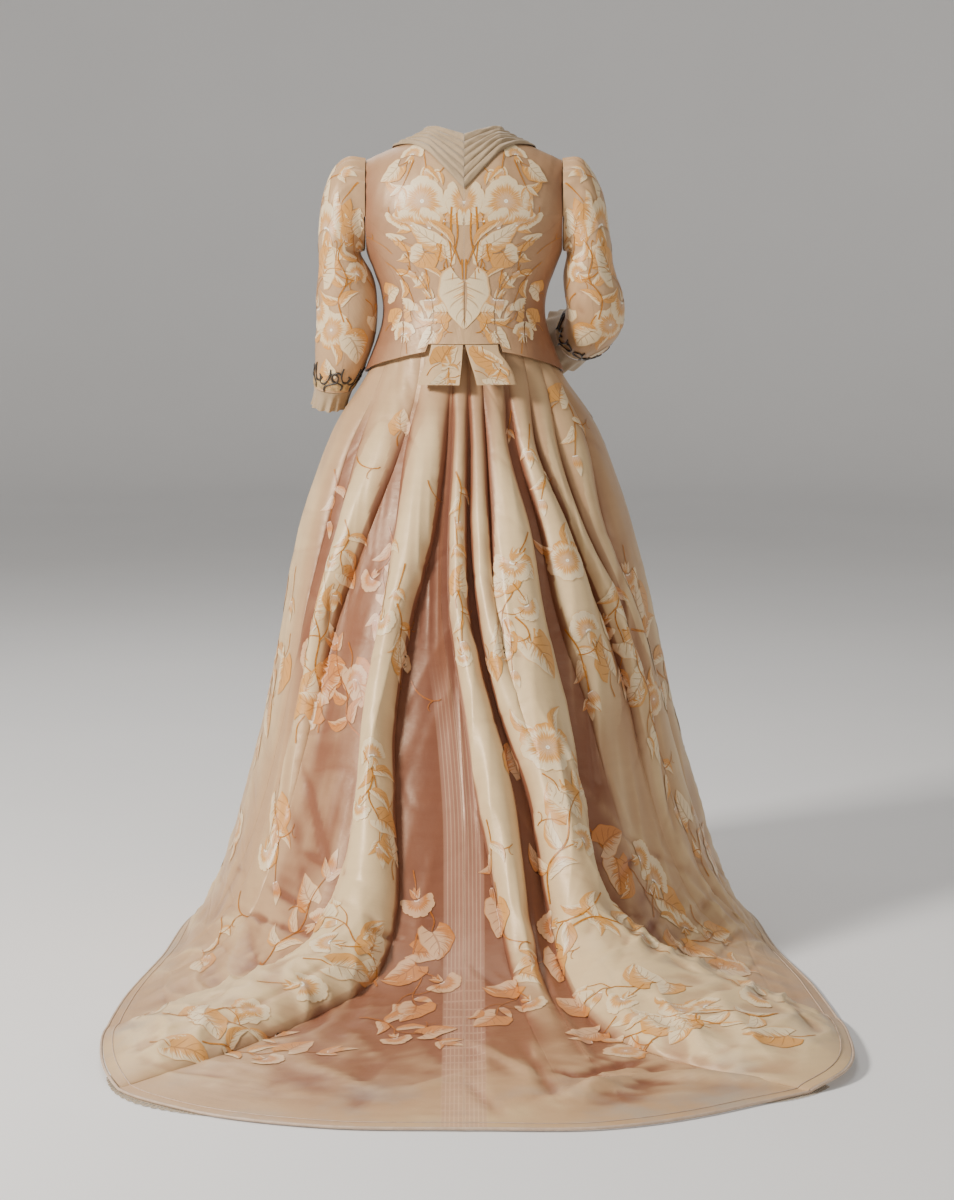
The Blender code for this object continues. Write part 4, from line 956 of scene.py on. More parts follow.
class Chart:
    """A grid of points with its normals and the lengths of cloth across (s) and down (t)."""

    def __init__(self, points, normals, centre_column):
        self.points = points
        self.normals = normals
        s, self.t = lengths(points)
        self.s = s - s[:, centre_column][:, None]

    def between(self, grid, r, c):
        """Values of a grid at rows and columns between its points."""
        r0 = np.clip(np.floor(r).astype(int), 0, grid.shape[0] - 2)
        c0 = np.clip(np.floor(c).astype(int), 0, grid.shape[1] - 2)
        fr = np.clip(r - r0, 0, 1)
        fc = np.clip(c - c0, 0, 1)
        if grid.ndim == 3:
            fr, fc = fr[:, None], fc[:, None]
        top = grid[r0, c0] * (1 - fc) + grid[r0, c0 + 1] * fc
        low = grid[r0 + 1, c0] * (1 - fc) + grid[r0 + 1, c0 + 1] * fc
        return top * (1 - fr) + low * fr

    def spread(self, r0, c0, offsets):
        """Rows and columns reached from (r0, c0) by going across and down the cloth; whether each
        of them is on the chart."""
        column = np.clip(c0, 0, self.points.shape[1] - 1.001)
        left, share = int(column), column - int(column)
        t_line = self.t[:, left] * (1 - share) + self.t[:, left + 1] * share
        s_line = self.s[:, left] * (1 - share) + self.s[:, left + 1] * share
        rows = np.arange(len(t_line))
        t = np.interp(r0, rows, t_line) + offsets[:, 1]
        r = np.interp(t, t_line, rows)
        inside = (t > t_line[0]) & (t < t_line[-1])
        s = np.interp(r, rows, s_line) + offsets[:, 0]
        columns = np.arange(self.points.shape[1])
        c = np.empty(len(r))
        for i, (row, want) in enumerate(zip(r, s)):
            low = min(int(row), len(rows) - 2)
            f = row - low
            line = self.s[low] * (1 - f) + self.s[low + 1] * f
            c[i] = np.interp(want, line, columns)
            inside[i] &= line[0] < want < line[-1]
        return r, c, inside


# Woven motifs, drawn flat: x across and y down, in metres


def grid_faces(rows, columns):
    return [
        (r * columns + c, r * columns + c + 1, (r + 1) * columns + c + 1, (r + 1) * columns + c)
        for r in range(rows - 1)
        for c in range(columns - 1)
    ]


def shaped(x, y, u, v):
    """A flat shape: its points, its faces, and how far across and along it each point is."""
    return np.stack([x, y], -1).reshape(-1, 2), grid_faces(*x.shape), np.stack([u, v], -1).reshape(-1, 2)


def leaf_shape(length, width, heart=0.35, bend=0.12, rows=16, columns=9):
    """A leaf from its stalk at the origin to its tip at (0, -length). u runs across it, v along it."""
    v = np.linspace(0.035, 0.985, rows)
    u = np.linspace(-1, 1, columns)
    half = width / 2 * np.sin(np.pi * np.clip(v, 0, 1) ** 0.62) ** 0.8 * (1 - 0.25 * v)
    uu, vv = np.meshgrid(u, v)
    wave = 1 + 0.05 * np.sin(vv * 19) * np.abs(uu)
    x = half[:, None] * uu * wave + bend * length * np.sin(np.pi * vv * 0.9)
    y = -length * vv + heart * width * np.abs(uu) ** 1.6 * (1 - vv) ** 2 * 0.8
    return shaped(x, y, uu, vv)


def petal_shape(length, width, rows=14, columns=9):
    """A petal, wide and notched at its end."""
    v = np.linspace(0, 1, rows)
    uu, vv = np.meshgrid(np.linspace(-1, 1, columns), v)
    half = width / 2 * (0.12 + 0.95 * np.sin(np.pi * np.clip(vv, 0, 1) ** 1.5 * 0.62))
    x = half * uu
    y = -length * vv * (1 - 0.10 * uu**2 - 0.07 * np.exp(-((uu / 0.18) ** 2)) * vv)
    return shaped(x, y, uu, vv)


def bloom_shape(radius, lobes=7, rows=12, columns=85, first=0.0, last=360.0):
    """A round open flower with a scalloped rim. u goes round it, v from its centre to its rim."""
    turn = np.radians(np.linspace(first, last, columns))
    v = np.linspace(0.02, 1, rows)
    tt, vv = np.meshgrid(turn, v)
    scallops = 0.14 * np.abs(np.sin(lobes * tt / 2)) ** 0.7
    rim = 0.86 + scallops + 0.035 * np.sin(3 * tt + 1) + 0.02 * np.sin(19 * tt)
    r = radius * vv * (1 + (rim - 1) * vv)
    x = r * np.sin(tt)
    y = -r * np.cos(tt) * 0.92
    return shaped(x, y, tt / (2 * np.pi) * lobes * 2, vv)


def ribbon_shape(points, width):
    """A stem along points, thin at its end."""
    points = np.array(points, float)
    keys = np.concatenate([[0], np.cumsum(np.linalg.norm(np.diff(points, axis=0), axis=1))])
    at = np.linspace(0, keys[-1], max(6, int(keys[-1] / 0.004)))
    line = np.stack([curve(at, keys, points[:, 0]), curve(at, keys, points[:, 1])], -1)
    along = unit(np.gradient(line, axis=0))
    side = np.stack([-along[:, 1], along[:, 0]], -1)
    share = np.linspace(0, 1, len(at))
    half = width / 2 * (1 - 0.55 * share)
    u = np.array([-1.0, 0.0, 1.0])
    xy = line[:, None] + side[:, None] * (half[:, None] * u[None])[..., None]
    return shaped(xy[..., 0], xy[..., 1], *np.meshgrid(u, at / STEM_REPEAT))


def tendril_points(size, turns=1.25):
    """A curling line that starts at the origin and winds in."""
    t = np.linspace(0, 1, 26)
    angle = 2 * np.pi * turns * t
    radius = size * (0.36 - 0.28 * t)
    x = size * 0.36 - radius * np.cos(angle) + 0.15 * size * np.sin(3 * t)
    y = -size * 0.9 * np.clip(t * 2, 0, 1) - radius * np.sin(angle)
    return np.stack([x, y], -1)


def turned(shape, turn_deg=0.0, move=(0.0, 0.0), size=1.0):
    xy, faces, uv = shape
    a = np.radians(turn_deg)
    spin = np.array([[np.cos(a), -np.sin(a)], [np.sin(a), np.cos(a)]])
    return xy * size @ spin.T + np.array(move), faces, uv


LEAF, BLOOM, STEM = 0, 1, 2


def laid(part, shape, turn, x, y, size):
    """One part of a motif: a shape turned, moved and scaled."""
    return part, turned(shape, turn, (x, y), size)


def motif(kind):
    """Shapes of a motif, each with its material slot."""
    heart = leaf_shape(0.068, 0.070)
    slim = leaf_shape(0.060, 0.026, heart=0.0, bend=0.2)
    bud = leaf_shape(0.034, 0.016, heart=0.0, bend=0.05, rows=10, columns=5)
    petal = petal_shape(0.042, 0.036)
    flower = bloom_shape(0.043)
    tendril = ribbon_shape(tendril_points(0.06), 0.0026)
    if kind == "leaf":
        return [(STEM, ribbon_shape([(0.004, 0.045), (0.008, 0.02), (0, 0.0)], 0.003)), (LEAF, heart)]
    if kind == "petal":
        return [(BLOOM, petal)]
    if kind == "bloom":
        around = [(LEAF, turned(slim, a, (0.030 * np.sin(np.radians(a)), -0.03 * np.cos(np.radians(a))), 0.8))
                  for a in (70, 150, 215)]
        return around + [(BLOOM, flower)]
    if kind == "bud":
        return [(STEM, ribbon_shape([(0.006, 0.055), (0.004, 0.03), (0, 0.0)], 0.0028)), (BLOOM, bud),
                laid(LEAF, bud, 35, 0, 0.004, 0.9), laid(LEAF, bud, -40, 0, 0.006, 0.8)]
    if kind == "tendril":
        return [(STEM, tendril)]
    if kind == "sprig":
        line = [(0, 0.07), (0.008, 0.03), (0.002, -0.01), (-0.004, -0.05)]
        return [(STEM, ribbon_shape(line, 0.0034)), laid(LEAF, slim, 40, 0.004, 0.03, 0.8),
                laid(LEAF, slim, -48, 0.004, 0.01, 0.8), laid(BLOOM, bud, 10, -0.004, -0.045, 1.2),
                (STEM, turned(ribbon_shape(tendril_points(0.045), 0.0024), 60, (0.004, 0.02)))]
    if kind == "halfbloom":
        sides = [(BLOOM, turned(petal_shape(0.030, 0.020), a, (-0.004 if a > 0 else 0, 0.006), 1.0))
                 for a in (-14, -62)]
        return sides + [laid(LEAF, slim, -35, -0.002, 0.002, 0.6), laid(BLOOM, petal, -118, 0, 0.004, 0.8)]
    if kind == "halfleaf":
        xy, faces, uv = leaf_shape(0.075, 0.085, bend=0.0, columns=17)
        keep = [f for f in faces if all(xy[i, 0] <= 1e-6 for i in f)]
        return [(LEAF, (xy, keep, uv)), (STEM, ribbon_shape([(-0.003, 0.03), (-0.002, 0.0)], 0.003))]
    if kind == "stems":
        lines = ([(-0.004, 0.05), (-0.006, 0.0), (-0.016, -0.035)],
                 [(-0.012, 0.048), (-0.014, 0.0), (-0.002, -0.04)],
                 [(-0.018, 0.05), (-0.028, 0.01), (-0.045, -0.02)])
        return [(STEM, ribbon_shape(line, 0.0034)) for line in lines]
    if kind == "spray":
        stem = [(0.02, 0.14), (0.005, 0.08), (0.012, 0.02), (-0.006, -0.05), (0.006, -0.11)]
        branch = [(0.009, 0.04), (0.04, 0.01), (0.055, -0.03)]
        return [(STEM, ribbon_shape(stem, 0.0045)), (STEM, ribbon_shape(branch, 0.0036)),
                laid(LEAF, heart, 52, 0.006, 0.075, 1.05), laid(LEAF, heart, -62, 0.010, 0.045, 1.15),
                laid(LEAF, slim, 30, 0.000, -0.02, 1.1), laid(LEAF, slim, -35, -0.004, -0.045, 1.2),
                laid(BLOOM, flower, 0, 0.058, -0.05, 1.0), laid(BLOOM, bud, 12, 0.006, -0.105, 1.5),
                laid(LEAF, bud, 150, 0.02, 0.135, 1.2),
                laid(STEM, tendril, 80, -0.004, -0.03, 1.0), laid(STEM, tendril, -70, 0.012, 0.09, 0.8)]
    if kind in ("fan", "cluster", "garland"):
        petals = [laid(BLOOM, petal_shape(0.046, 0.034), a, 0.004 * math.sin(math.radians(a)), 0.0,
                       1 - abs(a) / 400)
                  for a in (-78, 84, -40, 46, 0)]
        cup = [(LEAF, turned(bud, a, (0, 0.004), 0.9)) for a in (150, 200, 178)]
        head = cup + petals
    if kind == "fan":
        return [(STEM, ribbon_shape([(0.010, 0.075), (0.006, 0.04), (0, 0.012)], 0.0038))] + head
    if kind == "cluster":
        stem = [(0.028, 0.15), (0.006, 0.09), (0.014, 0.03), (-0.010, -0.03), (-0.004, -0.10)]
        put = [(slot, turned(shape, 35, (0.052, -0.005), 0.95)) for slot, shape in head]
        return ([(STEM, ribbon_shape(stem, 0.0044)),
                 (STEM, ribbon_shape([(0.010, 0.05), (0.03, 0.03), (0.048, 0.008)], 0.0034)),
                 (STEM, ribbon_shape([(-0.006, -0.02), (-0.03, -0.04), (-0.045, -0.075)], 0.003)),
                 laid(LEAF, heart, -70, 0.008, 0.070, 1.15), laid(LEAF, heart, 60, 0.010, 0.105, 1.0),
                 laid(LEAF, slim, -100, 0.000, 0.03, 1.2), laid(LEAF, slim, -20, -0.044, -0.072, 1.0),
                 laid(LEAF, heart, -25, -0.005, -0.085, 1.25), laid(BLOOM, bud, 40, -0.006, -0.045, 1.5),
                 laid(STEM, tendril, -95, 0.004, 0.06, 1.0),
                 laid(STEM, tendril, 60, -0.008, -0.03, 0.9)] + put)
    if kind == "garland":
        stem = [(-0.02, 0.13), (0.006, 0.07), (-0.010, 0.01), (0.010, -0.05), (0.0, -0.12)]
        put = [(slot, turned(shape, -30, (-0.040, -0.012), 0.85)) for slot, shape in head]
        return ([(STEM, ribbon_shape(stem, 0.0044)),
                 (STEM, ribbon_shape([(-0.006, 0.03), (-0.024, 0.01), (-0.038, 0.0)], 0.0034)),
                 laid(LEAF, slim, 70, 0.004, 0.075, 1.3), laid(LEAF, slim, 35, -0.004, 0.03, 1.3),
                 laid(LEAF, slim, -50, 0.000, 0.085, 1.2), laid(LEAF, heart, 55, 0.008, -0.045, 1.1),
                 laid(BLOOM, bud, 5, 0.0, -0.115, 1.7), laid(LEAF, bud, 40, 0.0, -0.105, 1.5),
                 laid(LEAF, bud, -40, 0.002, -0.100, 1.5), laid(STEM, tendril, 70, 0.006, -0.02, 1.0)] + put)
    raise ValueError(kind)


class Woven:
    """Gathers the motif patches of one panel."""

    def __init__(self):
        self.vertices, self.normals, self.uvs, self.extra, self.faces, self.slots = [], [], [], [], [], []

    def add(self, points, normals, uv, extra, faces, slot):
        base = sum(len(v) for v in self.vertices)
        self.vertices.append(points)
        self.normals.append(normals)
        self.uvs.append(uv)
        self.extra.append(extra)
        self.faces += [tuple(base + i for i in f) for f in faces]
        self.slots += [slot] * len(faces)


def weave(chart, sprays, owner, extra, flip=False):
    """Lays motifs on a chart. owner gives the panel of each column and row; returns a Woven each."""
    found = {}
    for number, (kind, r0, c0, turn, size) in enumerate(sprays):
        for layer, (slot, shape) in enumerate(motif(kind)):
            xy, faces, uv = turned(shape, turn, (0, 0), size)
            if flip:
                xy = xy * np.array([-1, 1])
            r, c, inside = chart.spread(r0, c0, np.stack([xy[:, 0], -xy[:, 1]], -1))
            points = chart.between(chart.points, r, c)
            normals = unit(chart.between(chart.normals, r, c))
            lift = WOVEN_LIFT + LAYER_LIFT * ((layer * 5 + number * 3) % 11)
            points = points + normals * lift
            # Painted shade of the cloth under the motif
            shade_under = chart.between(extra, r, c)
            corner = points[[f[0] for f in faces]]
            turn_of = np.cross(points[[f[1] for f in faces]] - corner, points[[f[2] for f in faces]] - corner)
            away = np.sum(turn_of * normals[[f[0] for f in faces]], axis=1) < 0
            by_panel = {}
            for f, back_to_front in zip(faces, away):
                f = f[::-1] if back_to_front else f
                if all(inside[list(f)]):
                    key = owner(r[f[0]], c[f[0]])
                    by_panel.setdefault(key, []).append(f)
            for key, part in by_panel.items():
                used = sorted({i for f in part for i in f})
                index = {old: new for new, old in enumerate(used)}
                small = [tuple(index[i] for i in f) for f in part]
                found.setdefault(key, Woven()).add(
                    points[used], normals[used], uv[used],
                    np.stack([shade_under[used], np.full(len(used), (number * 0.37) % 1.0)], -1), small, slot)
    return found


# Materials


def shader(name):
    made = bpy.data.materials.new(name)
    made.use_nodes = True
    return made, made.node_tree, made.node_tree.nodes["Principled BSDF"]


def node(tree, kind, *links, **settings):
    """Adds a node; links are (input, value or socket) pairs."""
    made = tree.nodes.new(kind)
    for key, value in settings.items():
        setattr(made, key, value)
    for name, value in links:
        if isinstance(value, bpy.types.NodeSocket):
            tree.links.new(value, made.inputs[name])
        else:
            made.inputs[name].default_value = value
    return made


def mathed(tree, operation, *values):
    made = tree.nodes.new("ShaderNodeMath")
    made.operation = operation
    for i, value in enumerate(values):
        if isinstance(value, bpy.types.NodeSocket):
            tree.links.new(value, made.inputs[i])
        else:
            made.inputs[i].default_value = value
    return made.outputs[0]


def times(tree, *values):
    return mathed(tree, "MULTIPLY", *values)


def rest_of(tree, value):
    """What the value leaves of 1."""
    return mathed(tree, "SUBTRACT", 1.0, value)


def attribute(tree, name):
    return node(tree, "ShaderNodeAttribute", attribute_name=name).outputs["Fac"]


def uv_places(tree, name):
    return node(tree, "ShaderNodeUVMap", uv_map=name).outputs[0]


def object_place(tree):
    return node(tree, "ShaderNodeTexCoord").outputs["Object"]


def bumped(tree, base, height, strength, distance):
    bump = node(tree, "ShaderNodeBump", ("Height", height), ("Strength", strength), ("Distance", distance))
    tree.links.new(bump.outputs[0], base.inputs["Normal"])


def mixed(tree, factor, one, two, blend="MIX"):
    made = tree.nodes.new("ShaderNodeMix")
    made.data_type = "RGBA"
    made.blend_type = blend
    for index, value in ((0, factor), (6, one), (7, two)):
        if isinstance(value, bpy.types.NodeSocket):
            tree.links.new(value, made.inputs[index])
        elif index == 0:
            made.inputs[index].default_value = value
        else:
            made.inputs[index].default_value = (*value, 1)
    return made.outputs[2]


def shaded(tree, colour, low, spread, pattern):
    """The colour, darker or lighter along a pattern that runs from 0 to 1."""
    shade = mathed(tree, "ADD", low, times(tree, pattern, spread))
    grey = node(tree, "ShaderNodeCombineColor", ("Red", shade), ("Green", shade), ("Blue", shade))
    return mixed(tree, 1.0, colour, grey.outputs[0], "MULTIPLY")


def ramped(tree, value, low, high):
    """0 below low, 1 above high, smooth between."""
    made = node(tree, "ShaderNodeMapRange", ("Value", value), ("From Min", low), ("From Max", high))
    made.interpolation_type = "SMOOTHSTEP"
    return made.outputs[0]


def noise(tree, vector, scale, detail=4.0, rough=0.55):
    made = node(tree, "ShaderNodeTexNoise", ("Vector", vector), ("Scale", scale), ("Detail", detail),
                ("Roughness", rough))
    return made.outputs[0]


def stretched(tree, vector, scale):
    return node(tree, "ShaderNodeMapping", ("Vector", vector), ("Scale", scale)).outputs[0]


def cloth_bump(tree, base, uv, place, fine=0.35, soft=0.25):
    """Fine ribs across the cloth and soft unevenness, as bump."""
    ribs = noise(tree, stretched(tree, uv, (90, 900, 1)), 1.0, 3.0)
    soft_waves = noise(tree, stretched(tree, uv, (9, 30, 1)), 1.0, 3.0)
    broad = noise(tree, place, 14.0, 3.0)
    first = node(tree, "ShaderNodeBump", ("Height", ribs), ("Strength", fine), ("Distance", 0.0006))
    second = node(tree, "ShaderNodeBump", ("Height", soft_waves), ("Strength", soft), ("Distance", 0.004),
                  ("Normal", first.outputs[0]))
    third = node(tree, "ShaderNodeBump", ("Height", broad), ("Strength", 0.18), ("Distance", 0.010),
                 ("Normal", second.outputs[0]))
    tree.links.new(third.outputs[0], base.inputs["Normal"])


# Satin ground from light to dark. The first is lit cream, a painted highlight on ridges and crease crests.
# The second is the plain ground. The last two are painted shade in valleys, hollows and sides turned from the
# light, pinker in the skirt's centre channel.
CREAM_HIGHLIGHT = (0.725, 0.530, 0.290)
MID = (0.490, 0.300, 0.160)
PINK_SHADE = (0.225, 0.085, 0.045)
DEEP_SHADE = (0.170, 0.060, 0.035)
IVORY = (0.790, 0.620, 0.370)
GOLD = (0.620, 0.240, 0.006)
BROWN = (0.270, 0.085, 0.004)
# Painted shade multiplied over the woven motifs where the cloth under them is shaded
SHADE_TINT = (0.74, 0.52, 0.44)


def satin(name, striped=False):
    made, tree, base = shader(name)
    uv = uv_places(tree, "cloth")
    place = object_place(tree)
    # The shade attribute paints shade and highlight into the colour: cream on ridges, darker and pinker
    # towards valleys and hollows. The mottle adds uneven tone.
    painted_shade = attribute(tree, "painted_shade")
    mottle = noise(tree, place, 5.0, 4.0)
    streak = noise(tree, stretched(tree, uv, (4, 60, 1)), 1.0, 4.0)
    shade_level = mathed(tree, "ADD", painted_shade, times(tree, mathed(tree, "SUBTRACT", mottle, 0.5), 0.5))
    colour = mixed(tree, ramped(tree, shade_level, 0.0, 0.55), CREAM_HIGHLIGHT, MID)
    colour = mixed(tree, ramped(tree, shade_level, 0.5, 1.1), colour, PINK_SHADE)
    colour = mixed(tree, ramped(tree, shade_level, 1.15, 1.9), colour, DEEP_SHADE)
    colour = shaded(tree, colour, 0.93, 0.14, streak)
    across = node(tree, "ShaderNodeSeparateXYZ", ("Vector", uv))
    if striped:
        u, v = across.outputs[0], across.outputs[1]
        side = mathed(tree, "ABSOLUTE", u)
        band = rest_of(tree, ramped(tree, side, 0.030, 0.034))
        band = times(tree, band, ramped(tree, v, 0.55, 0.75))
        wave = mathed(tree, "SINE", times(tree, side, 2 * math.pi / 0.0062))
        ribs = ramped(tree, wave, 0.2, 0.9)
        bars = ramped(tree, mathed(tree, "SINE", times(tree, v, 2 * math.pi / 0.030)), 0.80, 0.97)
        bars = times(tree, bars, ramped(tree, v, 1.05, 1.25))
        lines = mathed(tree, "MAXIMUM", times(tree, ribs, 0.42), times(tree, bars, 0.42))
        lines = times(tree, band, lines)
        colour = mixed(tree, lines, colour, (0.74, 0.50, 0.33))
        warm = times(tree, band, times(tree, rest_of(tree, ribs), 0.42))
        colour = mixed(tree, warm, colour, (0.50, 0.27, 0.19))
    soil = attribute(tree, "soil")
    dirt = times(tree, soil, ramped(tree, noise(tree, place, 9.0, 5.0), 0.45, 0.75))
    colour = mixed(tree, times(tree, dirt, 0.60), colour, (0.36, 0.33, 0.29))
    tree.links.new(colour, base.inputs["Base Color"])
    tree.links.new(mathed(tree, "ADD", 0.31, times(tree, streak, 0.14)), base.inputs["Roughness"])
    base.inputs["Specular IOR Level"].default_value = 0.62
    base.inputs["Specular Tint"].default_value = (1.0, 0.82, 0.60, 1)
    base.inputs["Sheen Weight"].default_value = 0.04
    base.inputs["Sheen Roughness"].default_value = 0.4
    base.inputs["Sheen Tint"].default_value = (1.0, 0.82, 0.62, 1)
    cloth_bump(tree, base, uv, place)
    return made


def woven_material(name, kind):
    """Brocading wefts: ivory, gold and brown, with hatched changes from one to the next."""
    made, tree, base = shader(name)
    uv = uv_places(tree, "motif")
    place = object_place(tree)
    parts = node(tree, "ShaderNodeSeparateXYZ", ("Vector", uv))
    u, v = parts.outputs[0], parts.outputs[1]
    side = mathed(tree, "ABSOLUTE", u)
    painted_shade = attribute(tree, "painted_shade")
    seed = attribute(tree, "seed")
    if kind == "bloom":
        # an ivory ruffled rim, gold streaks inside it and on its upper half, and a beige eye
        streak = noise(tree, stretched(tree, uv, (11.0, 1.1, 1)), 1.0, 3.0)
        loose = times(tree, mathed(tree, "SUBTRACT", streak, 0.5), 1.1)
        reach = mathed(tree, "ADD", v, loose)
        inner = rest_of(tree, ramped(tree, reach, 0.50, 0.66))
        eye = rest_of(tree, ramped(tree, reach, 0.20, 0.42))
        upper = ramped(tree, times(tree, mathed(tree, "COSINE", times(tree, u, 2 * math.pi / 14)), -1.0),
                       -0.1, 0.6)
        outer = times(tree, ramped(tree, reach, 0.72, 0.90), upper)
        colour = mixed(tree, times(tree, inner, 0.80), IVORY, GOLD)
        colour = mixed(tree, times(tree, eye, 0.85), colour, (0.66, 0.44, 0.26))
        colour = mixed(tree, times(tree, outer, 0.85), colour, GOLD)
        spokes = ramped(tree, mathed(tree, "SINE", times(tree, u, 15.0)), 0.80, 1.0)
        spokes = times(tree, spokes, rest_of(tree, ramped(tree, v, 0.45, 0.80)))
        dot = rest_of(tree, ramped(tree, v, 0.05, 0.09))
        colour = mixed(tree, times(tree, spokes, 0.45), colour, BROWN)
        colour = mixed(tree, dot, colour, (0.95, 0.88, 0.72))
        edge = ramped(tree, v, 0.965, 0.99)
        colour = mixed(tree, times(tree, edge, 0.55), colour, GOLD)
    elif kind == "leaf":
        # ivory with gold veins, and gold streaks along the veins on one side and at the tip
        slant = mathed(tree, "SUBTRACT", times(tree, v, 4.5), times(tree, side, 1.6))
        lines = node(tree, "ShaderNodeCombineXYZ", ("X", times(tree, u, 0.9)),
                     ("Y", times(tree, slant, 9.0)), ("Z", seed))
        streak = noise(tree, lines.outputs[0], 1.0, 3.0)
        split = mathed(tree, "SUBTRACT", times(tree, seed, 1.2), 0.75)
        loose = mathed(tree, "SUBTRACT", streak, 0.5)
        half = mathed(tree, "ADD", mathed(tree, "SUBTRACT", u, split), times(tree, loose, 2.6))
        tip = mathed(tree, "ADD", mathed(tree, "SUBTRACT", v, 0.92), loose)
        gold = mathed(tree, "MAXIMUM", ramped(tree, half, 0.0, 0.30), ramped(tree, tip, 0.0, 0.15))
        colour = mixed(tree, times(tree, gold, 0.80), IVORY, GOLD)
        near = mathed(tree, "ABSOLUTE", mathed(tree, "SUBTRACT", mathed(tree, "FRACT", slant), 0.5))
        vein = rest_of(tree, ramped(tree, near, 0.02, 0.10))
        vein = times(tree, vein, rest_of(tree, ramped(tree, side, 0.55, 0.90)))
        rib = rest_of(tree, ramped(tree, side, 0.02, 0.09))
        edge = times(tree, ramped(tree, side, 0.90, 0.98), 0.55)
        colour = mixed(tree, times(tree, mathed(tree, "MAXIMUM", vein, rib), 0.55), colour, BROWN)
        colour = mixed(tree, edge, colour, GOLD)
    else:
        fray = noise(tree, stretched(tree, uv, (1.0, 6.0, 1)), 1.0, 3.0)
        colour = mixed(tree, ramped(tree, fray, 0.35, 0.65), GOLD, BROWN)
    # Painted shade: the motif is darker where the cloth under it is shaded
    colour = mixed(tree, times(tree, ramped(tree, painted_shade, 0.2, 1.1), 0.9), colour,
                   mixed(tree, 1.0, colour, SHADE_TINT, "MULTIPLY"))
    thread = noise(tree, stretched(tree, place, (700, 700, 250)), 1.0, 2.0)
    colour = shaded(tree, colour, 0.86, 0.28, thread)
    tree.links.new(colour, base.inputs["Base Color"])
    base.inputs["Roughness"].default_value = 0.40
    base.inputs["Specular IOR Level"].default_value = 0.5
    base.inputs["Sheen Weight"].default_value = 0.12
    bumped(tree, base, thread, 0.35, 0.0006)
    return made


def gauze_material(name):
    made, tree, base = shader(name)
    uv = uv_places(tree, "cloth")
    place = object_place(tree)
    painted_shade = attribute(tree, "painted_shade")
    blotch = noise(tree, place, 22.0, 4.0)
    strands = noise(tree, stretched(tree, uv, (60, 900, 1)), 1.0, 2.0)
    colour = mixed(tree, ramped(tree, blotch, 0.3, 0.7), (0.300, 0.205, 0.105), (0.390, 0.280, 0.160))
    # Painted shade: darker in the hollows of the pleats
    colour = mixed(tree, times(tree, painted_shade, 0.55), colour, (0.190, 0.120, 0.060))
    colour = mixed(tree, times(tree, strands, 0.25), colour, (0.56, 0.43, 0.28))
    tree.links.new(colour, base.inputs["Base Color"])
    base.inputs["Roughness"].default_value = 0.72
    base.inputs["Sheen Weight"].default_value = 0.3
    bumped(tree, base, strands, 0.4, 0.0008)
    return made


def plain_material(name, one, two, scale, roughness, bump_size=0.0008):
    made, tree, base = shader(name)
    place = object_place(tree)
    grain = noise(tree, place, scale, 5.0)
    tree.links.new(mixed(tree, ramped(tree, grain, 0.3, 0.7), one, two), base.inputs["Base Color"])
    base.inputs["Roughness"].default_value = roughness
    bumped(tree, base, grain, 0.5, bump_size)
    return made


LOOKS = {
    "satin": satin("skirt_satin"),
    "striped": satin("skirt_satin_striped", striped=True),
    "brocade": satin("bodice_satin"),
    "gauze": gauze_material("gauze_weave"),
    "leaf": woven_material("woven_leaf", "leaf"),
    "bloom": woven_material("woven_bloom", "bloom"),
    "stem": woven_material("woven_stem", "stem"),
    "lace": plain_material("lace_thread", (0.36, 0.28, 0.19), (0.50, 0.41, 0.30), 260.0, 0.85),
    "cord": plain_material("cord_silk", (0.47, 0.34, 0.24), (0.56, 0.42, 0.31), 90.0, 0.5),
    "jet": plain_material("jet_trim", (0.012, 0.010, 0.008), (0.07, 0.05, 0.035), 500.0, 0.35),
    "galloon": plain_material("galloon_gold", (0.30, 0.185, 0.075), (0.58, 0.40, 0.18), 150.0, 0.6, 0.002),
}


# Objects


def add_mesh(name, vertices, faces, look, uv=None, painted_shade=None, soil=None, slot="brocade", slots=None,
             normals=None, seed=None, uv_name="cloth"):
    mesh = bpy.data.meshes.new(name)
    shift = np.array([0, 0, -WAIST_HEIGHT])
    mesh.from_pydata([tuple(v) for v in vertices + shift], [], faces)
    for found in look if isinstance(look, (list, tuple)) else [look]:
        mesh.materials.append(LOOKS[found])
    if slots is not None:
        mesh.polygons.foreach_set("material_index", slots)
    if uv is not None:
        layer = mesh.uv_layers.new(name=uv_name)
        loops = np.zeros(len(mesh.loops), int)
        mesh.loops.foreach_get("vertex_index", loops)
        layer.data.foreach_set("uv", np.asarray(uv, np.float32)[loops].ravel())
    for label, values in (("painted_shade", painted_shade), ("soil", soil), ("seed", seed)):
        if values is not None:
            made = mesh.attributes.new(label, "FLOAT", "POINT")
            made.data.foreach_set("value", np.asarray(values, np.float32).ravel())
    mesh.validate()
    mesh.shade_smooth()
    if normals is not None:
        mesh.normals_split_custom_set_from_vertices([tuple(n) for n in normals])
    piece = bpy.data.objects.new(name, mesh)
    bpy.context.scene.collection.objects.link(piece)
    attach(piece, "root")
    return piece


def outward_faces(points, normals):
    """Faces of a grid of points, turned to the side that its normals point to."""
    rows, columns = points.shape[:2]
    faces = grid_faces(rows, columns)
    r, c = rows // 2, columns // 2
    corner = points[r, c]
    if np.dot(np.cross(points[r, c + 1] - corner, points[r + 1, c] - corner), normals[r, c]) < 0:
        faces = [f[::-1] for f in faces]
    return faces


